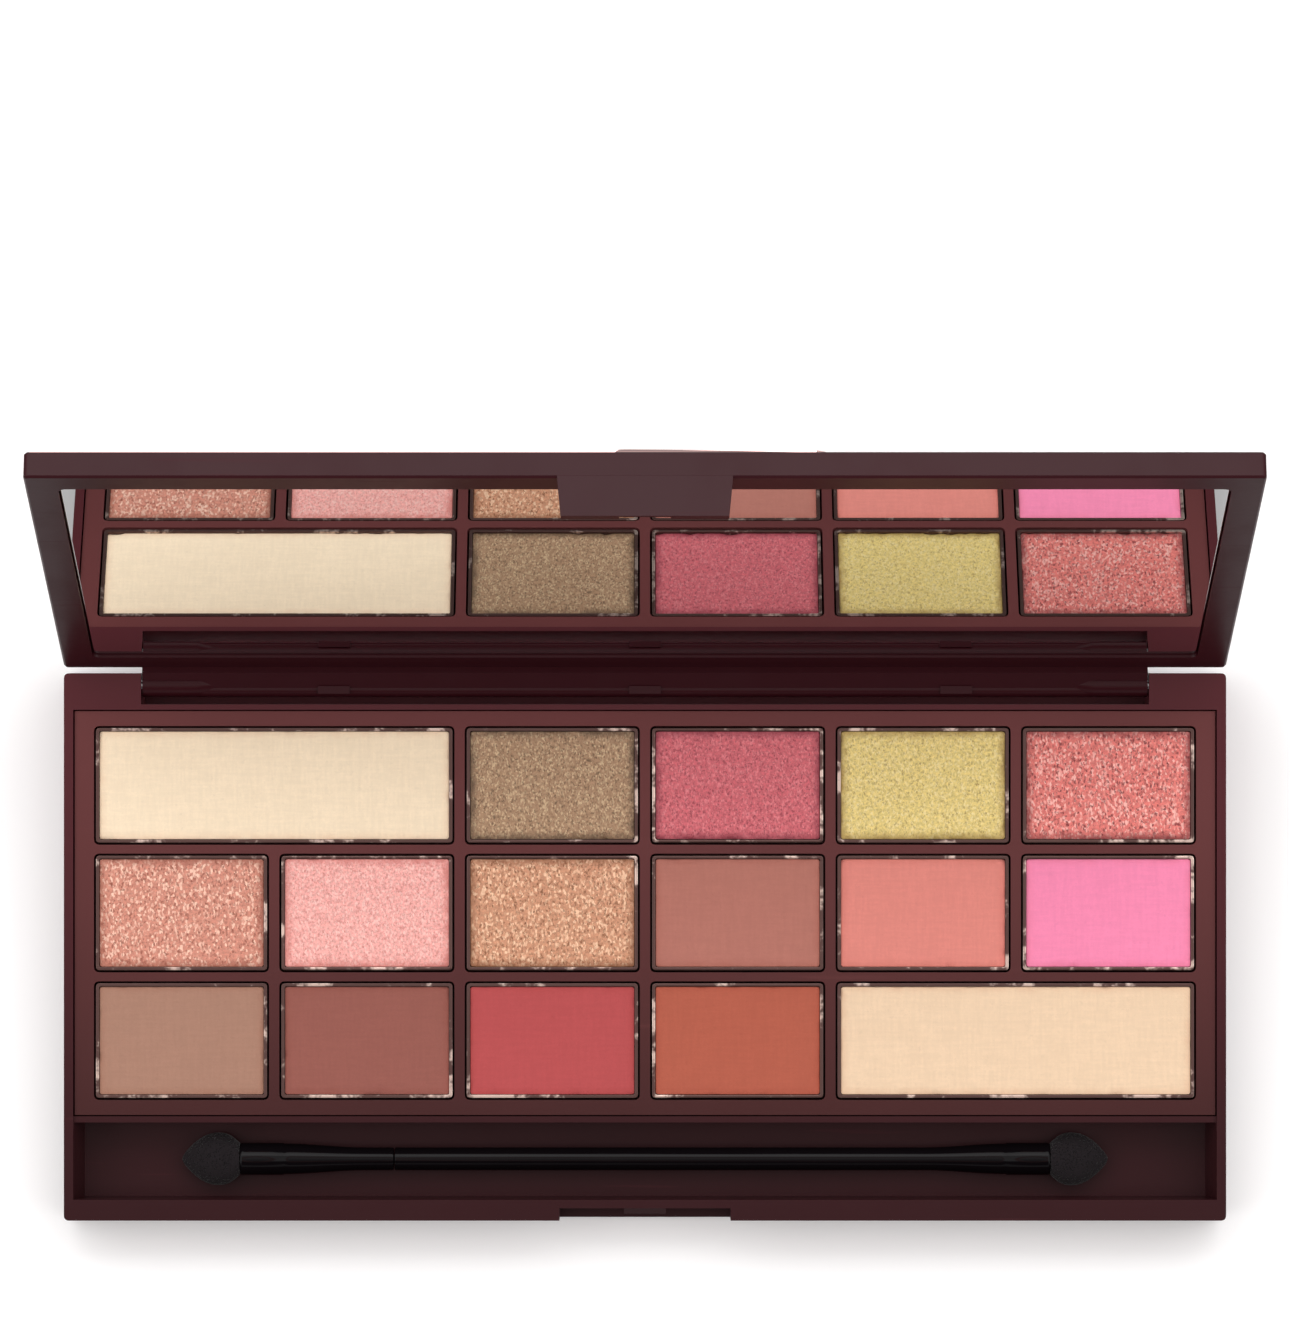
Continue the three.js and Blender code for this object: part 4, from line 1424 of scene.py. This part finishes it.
    def inset_box(self, box: tuple[float, float, float, float]) -> tuple[float, float, float, float]:
        """A ledge's inner rectangle."""
        side, back, front = self.shelf
        return (box[0] + side, box[1] - side, box[2] + front, box[3] - back)

    def cut_at_bite(self, blocks: bmesh.types.BMesh) -> bmesh.types.BMesh:
        """Keeps what lies on the blocks' side of the bitten line.

        Args:
            blocks: The uncut blocks; freed here.

        Returns:
            The cut blocks.
        """
        far = 5 * MM
        corners = [Vector((self.left - far, self.back + far, 0)), *self.bitten_line(),
                   Vector((self.left - far, self.front - far, 0))]
        cutter = self.outline(self.spaced(corners), self.base - far)
        self.raise_faces(cutter, 3 * far)
        holders = []
        for name, mesh in (("blocks", blocks), ("bite", cutter)):
            data = bpy.data.meshes.new(name)
            mesh.to_mesh(data)
            mesh.free()
            holder = bpy.data.objects.new(name, data)
            bpy.context.scene.collection.objects.link(holder)
            holders.append(holder)
        cut = holders[0].modifiers.new("bite", "BOOLEAN")
        cut.operation = "INTERSECT"
        cut.solver = "EXACT"
        cut.use_self = True
        cut.object = holders[1]
        evaluated = holders[0].evaluated_get(bpy.context.evaluated_depsgraph_get())
        result = bmesh.new()
        result.from_mesh(evaluated.to_mesh())
        evaluated.to_mesh_clear()
        for holder in holders:
            data = holder.data
            bpy.data.objects.remove(holder)
            bpy.data.meshes.remove(data)
        return result

    def make_pool(self) -> bmesh.types.BMesh:
        """The melted pool: a rounded edge all round and a slow swell inside."""
        points = self.eased([*self.bitten_line(), *reversed(self.drip_line())])
        mesh = self.outline(points, self.base)
        face = next(iter(mesh.faces))
        reach = rise = 0.0
        for step in range(1, self.pool_steps + 1):
            turn = math.pi / 2 * step / self.pool_steps
            next_reach = self.pool_round * (1 - math.cos(turn))
            next_rise = self.pool * math.sin(turn)
            bmesh.ops.inset_region(
                mesh,
                faces=[face],
                thickness=next_reach - reach,
                depth=next_rise - rise,
                use_even_offset=False,
                use_boundary=True,
            )
            reach, rise = next_reach, next_rise
        bmesh.ops.inset_region(mesh, faces=[face], thickness=self.flat_ring, use_even_offset=False,
                               use_boundary=True)
        slice_faces(mesh, [face], self.pool_pitch)
        for vert in mesh.verts:
            height = (vert.co.z - self.base) / self.pool
            vert.co.z += self.swell(vert.co) * max(0.0, height) ** 2
        bottom = [edge for edge in mesh.edges if edge.is_boundary]
        bmesh.ops.holes_fill(mesh, edges=bottom, sides=0)
        bmesh.ops.recalc_face_normals(mesh, faces=mesh.faces)
        return mesh

    def swell(self, spot: Vector) -> float:
        """How far the pool's surface rises: waves that drift forward to the right, and one long bump.

        Args:
            spot: The place, in the lid's frame.

        Returns:
            The rise, in metres.
        """
        row = (self.back - spot.y) / self.pitch_y
        column = (spot.x - self.grid_left) / self.pitch_x
        drift = 0.3 * (column - 3.4) + 0.1 * noise.noise(Vector((column * 1.3, row * 1.1, 4.0)))
        wave = 0.5 - 0.5 * math.cos(math.tau * (row + drift * 0.6))
        long_bump = self.dome(column, 3.72, 4.46, 0.16) * self.dome(row, 0.22, 0.5, 0.2)
        return self.pool_swell * (wave - 0.45) + 0.16 * MM * long_bump

    @staticmethod
    def dome(value: float, low: float, high: float, soft: float) -> float:
        """A plateau with soft sides.

        Args:
            value: Where on the line.
            low: Where the plateau starts.
            high: Where it ends.
            soft: How far each side takes to rise.

        Returns:
            1 on the plateau, falling to 0 outside.
        """

        def rise(distance: float) -> float:
            """A smooth step."""
            share = min(1.0, max(0.0, distance / soft * 0.5 + 0.5))
            return share * share * (3 - 2 * share)

        return rise(value - low) * rise(high - value)

    def make_mound(self) -> bmesh.types.BMesh:
        """The last block of the back row, sinking into the pool."""
        corner = self.spot(self.full_columns, 0)
        side, back, front = self.outer
        ledge = (
            corner.x + self.groove / 2 + side,
            corner.x + self.mound_right,
            corner.y - self.pitch_y + self.groove / 2 + front,
            corner.y - self.groove / 2 - back,
        )
        upper = self.inset_box(ledge)
        foot = self.ledge - self.lap
        mesh = bmesh.new()
        side, back, front = self.inner
        self.tier(mesh, upper, (0.0, 0.0, 0.0, 0.0), (self.slab, foot))
        self.tier(mesh, upper, (side, self.mound_slope, front, back), (foot, self.plateau))
        bmesh.ops.recalc_face_normals(mesh, faces=mesh.faces)
        return mesh


# ---------------------------------------------------------------- studio


@dataclass
class Studio:
    """The floor, lights and camera."""

    camera_y: float = 37.1 * MM
    frame_height: float = 170.4 * MM
    subject_height: float = 8.0 * MM
    lens_mm: float = 200.0
    sensor_mm: float = 36.0
    floor_half: float = 12.0

    def build(self) -> None:
        """Sets the scene."""
        self.add_camera()
        self.add_floor()
        self.add_world()
        self.add_softbox("back_box", (0.0, 1.0, 1.15), (2.0, 0.8), 10.4)
        self.add_softbox("left_strip", (-1.15, 0.1, 1.0), (1.7, 0.7), 6.2)
        self.add_softbox("right_strip", (1.15, 0.1, 1.0), (1.7, 0.7), 5.6)
        scene = bpy.context.scene
        scene.view_settings.view_transform = "Standard"
        scene.view_settings.look = "None"
        scene.view_settings.exposure = 0.0

    def add_camera(self) -> None:
        """A long lens that looks straight down."""
        data = bpy.data.cameras.new("camera")
        data.lens = self.lens_mm
        data.sensor_width = self.sensor_mm
        distance = self.frame_height * self.lens_mm / self.sensor_mm
        camera = bpy.data.objects.new("camera", data)
        camera.location = (0.0, self.camera_y, distance + self.subject_height)
        data.clip_start, data.clip_end = 0.05, 50.0
        bpy.context.scene.collection.objects.link(camera)
        bpy.context.scene.camera = camera

    def add_floor(self) -> None:
        """A wide pale floor with painted light: it glows faintly, grows darker far off, and is darker still
        where it is seen in a reflection.
        """
        mesh = bmesh.new()
        bmesh.ops.create_grid(mesh, x_segments=8, y_segments=8, size=self.floor_half)
        data = bpy.data.meshes.new("floor")
        mesh.to_mesh(data)
        mesh.free()
        graph = Graph.of_material("floor_paper")
        pale = graph.blend(graph.noise(30.0, 2.0), grey(0.93), grey(0.95))
        inputs = {"Vector": graph.place}
        away = graph.make("ShaderNodeVectorMath", {"operation": "LENGTH"}, inputs, output="Value")
        # Painted shade: the floor darkens away from the palette.
        far = graph.blend(away.ramp(0.13, 0.42), pale, grey(0.5))
        # Painted reflection: glossy rays see a darker floor.
        mirrored = graph.make("ShaderNodeLightPath", {}, {}, output="Is Glossy Ray")
        flagged = graph.blend(away.ramp(0.05, 0.26), grey(0.52), grey(0.16))
        tone = graph.blend(mirrored, far, flagged)
        paper = {"Base Color": tone, "Roughness": 0.9, "Specular IOR Level": 0.1}
        # Painted light: the floor glows faintly, so it stays white beside the palette.
        painted_floor_glow = {"Emission Color": (1.0, 1.0, 1.0, 1.0), "Emission Strength": 0.1}
        data.materials.append(graph.surface({**paper, **painted_floor_glow}))
        floor = bpy.data.objects.new("floor", data)
        bpy.context.scene.collection.objects.link(floor)

    def add_world(self) -> None:
        """A pale room: a ceiling brighter to the rear, a warm ring round it and a dark flag in front."""
        world = bpy.data.worlds.new("room")
        bpy.context.scene.world = world
        world.use_nodes = True
        graph = Graph(world.node_tree, "Generated")
        across, upward = graph.axis("Y"), graph.axis("Z")
        walls = graph.blend(upward.ramp(0.62, 0.86), grey(0.54), grey(1.5))
        shade = across.ramp(-0.25, 0.02) * 0.3 + 0.46
        overhead = shade + across.ramp(0.012, 0.05) * 0.3 + across.ramp(0.05, 0.4) * 0.4
        room = graph.blend(upward.ramp(0.955, 0.972), walls, overhead)
        flag = (across * -1.0).ramp(0.17, 0.28) * upward.ramp(0.66, 0.74)
        flagged = graph.blend(flag, room, grey(0.004))
        ring = upward.ramp(0.93, 0.94) * (1.0 - upward.ramp(0.957, 0.967))
        lit = graph.blend(ring * 0.85, flagged, (0.95, 0.36, 0.30, 1.0))
        background = graph.make("ShaderNodeBackground", {}, {"Color": lit, "Strength": 1.0})
        graph.end("ShaderNodeOutputWorld", background)

    @staticmethod
    def add_softbox(
        name: str,
        place: tuple[float, float, float],
        size: tuple[float, float],
        watts: float,
    ) -> None:
        """Hangs one soft rectangular light that faces the palette.

        Args:
            name: The light's name.
            place: Where it hangs.
            size: Its width and depth.
            watts: Its power.
        """
        data = bpy.data.lights.new(name, "AREA")
        data.shape = "RECTANGLE"
        data.size, data.size_y = size
        data.energy = watts
        light = bpy.data.objects.new(name, data)
        light.location = place
        light.rotation_euler = (-Vector(place)).to_track_quat("-Z", "Y").to_euler()
        bpy.context.scene.collection.objects.link(light)


# ---------------------------------------------------------------- whole object


def main() -> None:
    """Builds the looks around the frame."""
    logging.basicConfig(level=logging.INFO, format="%(name)s: %(message)s")
    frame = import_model()
    workshop = Workshop(frame)
    Studio().build()
    Case(workshop).build()
    # The pans' bright rim patches are painted glints.
    metal = GlintPatchedRim("pan_metal", srgb(92, 68, 64), srgb(222, 200, 188)).build()
    for index, (key, powder) in enumerate(POWDERS.items()):
        Pan(workshop, powder, metal, key, seed=POWDER_SEED_STEP * index).build()
    Applicator(workshop).build()
    place = LidFrame(workshop)
    Lid(workshop).build()
    Relief(workshop, place).build()


if __name__ == "__main__":
    main()
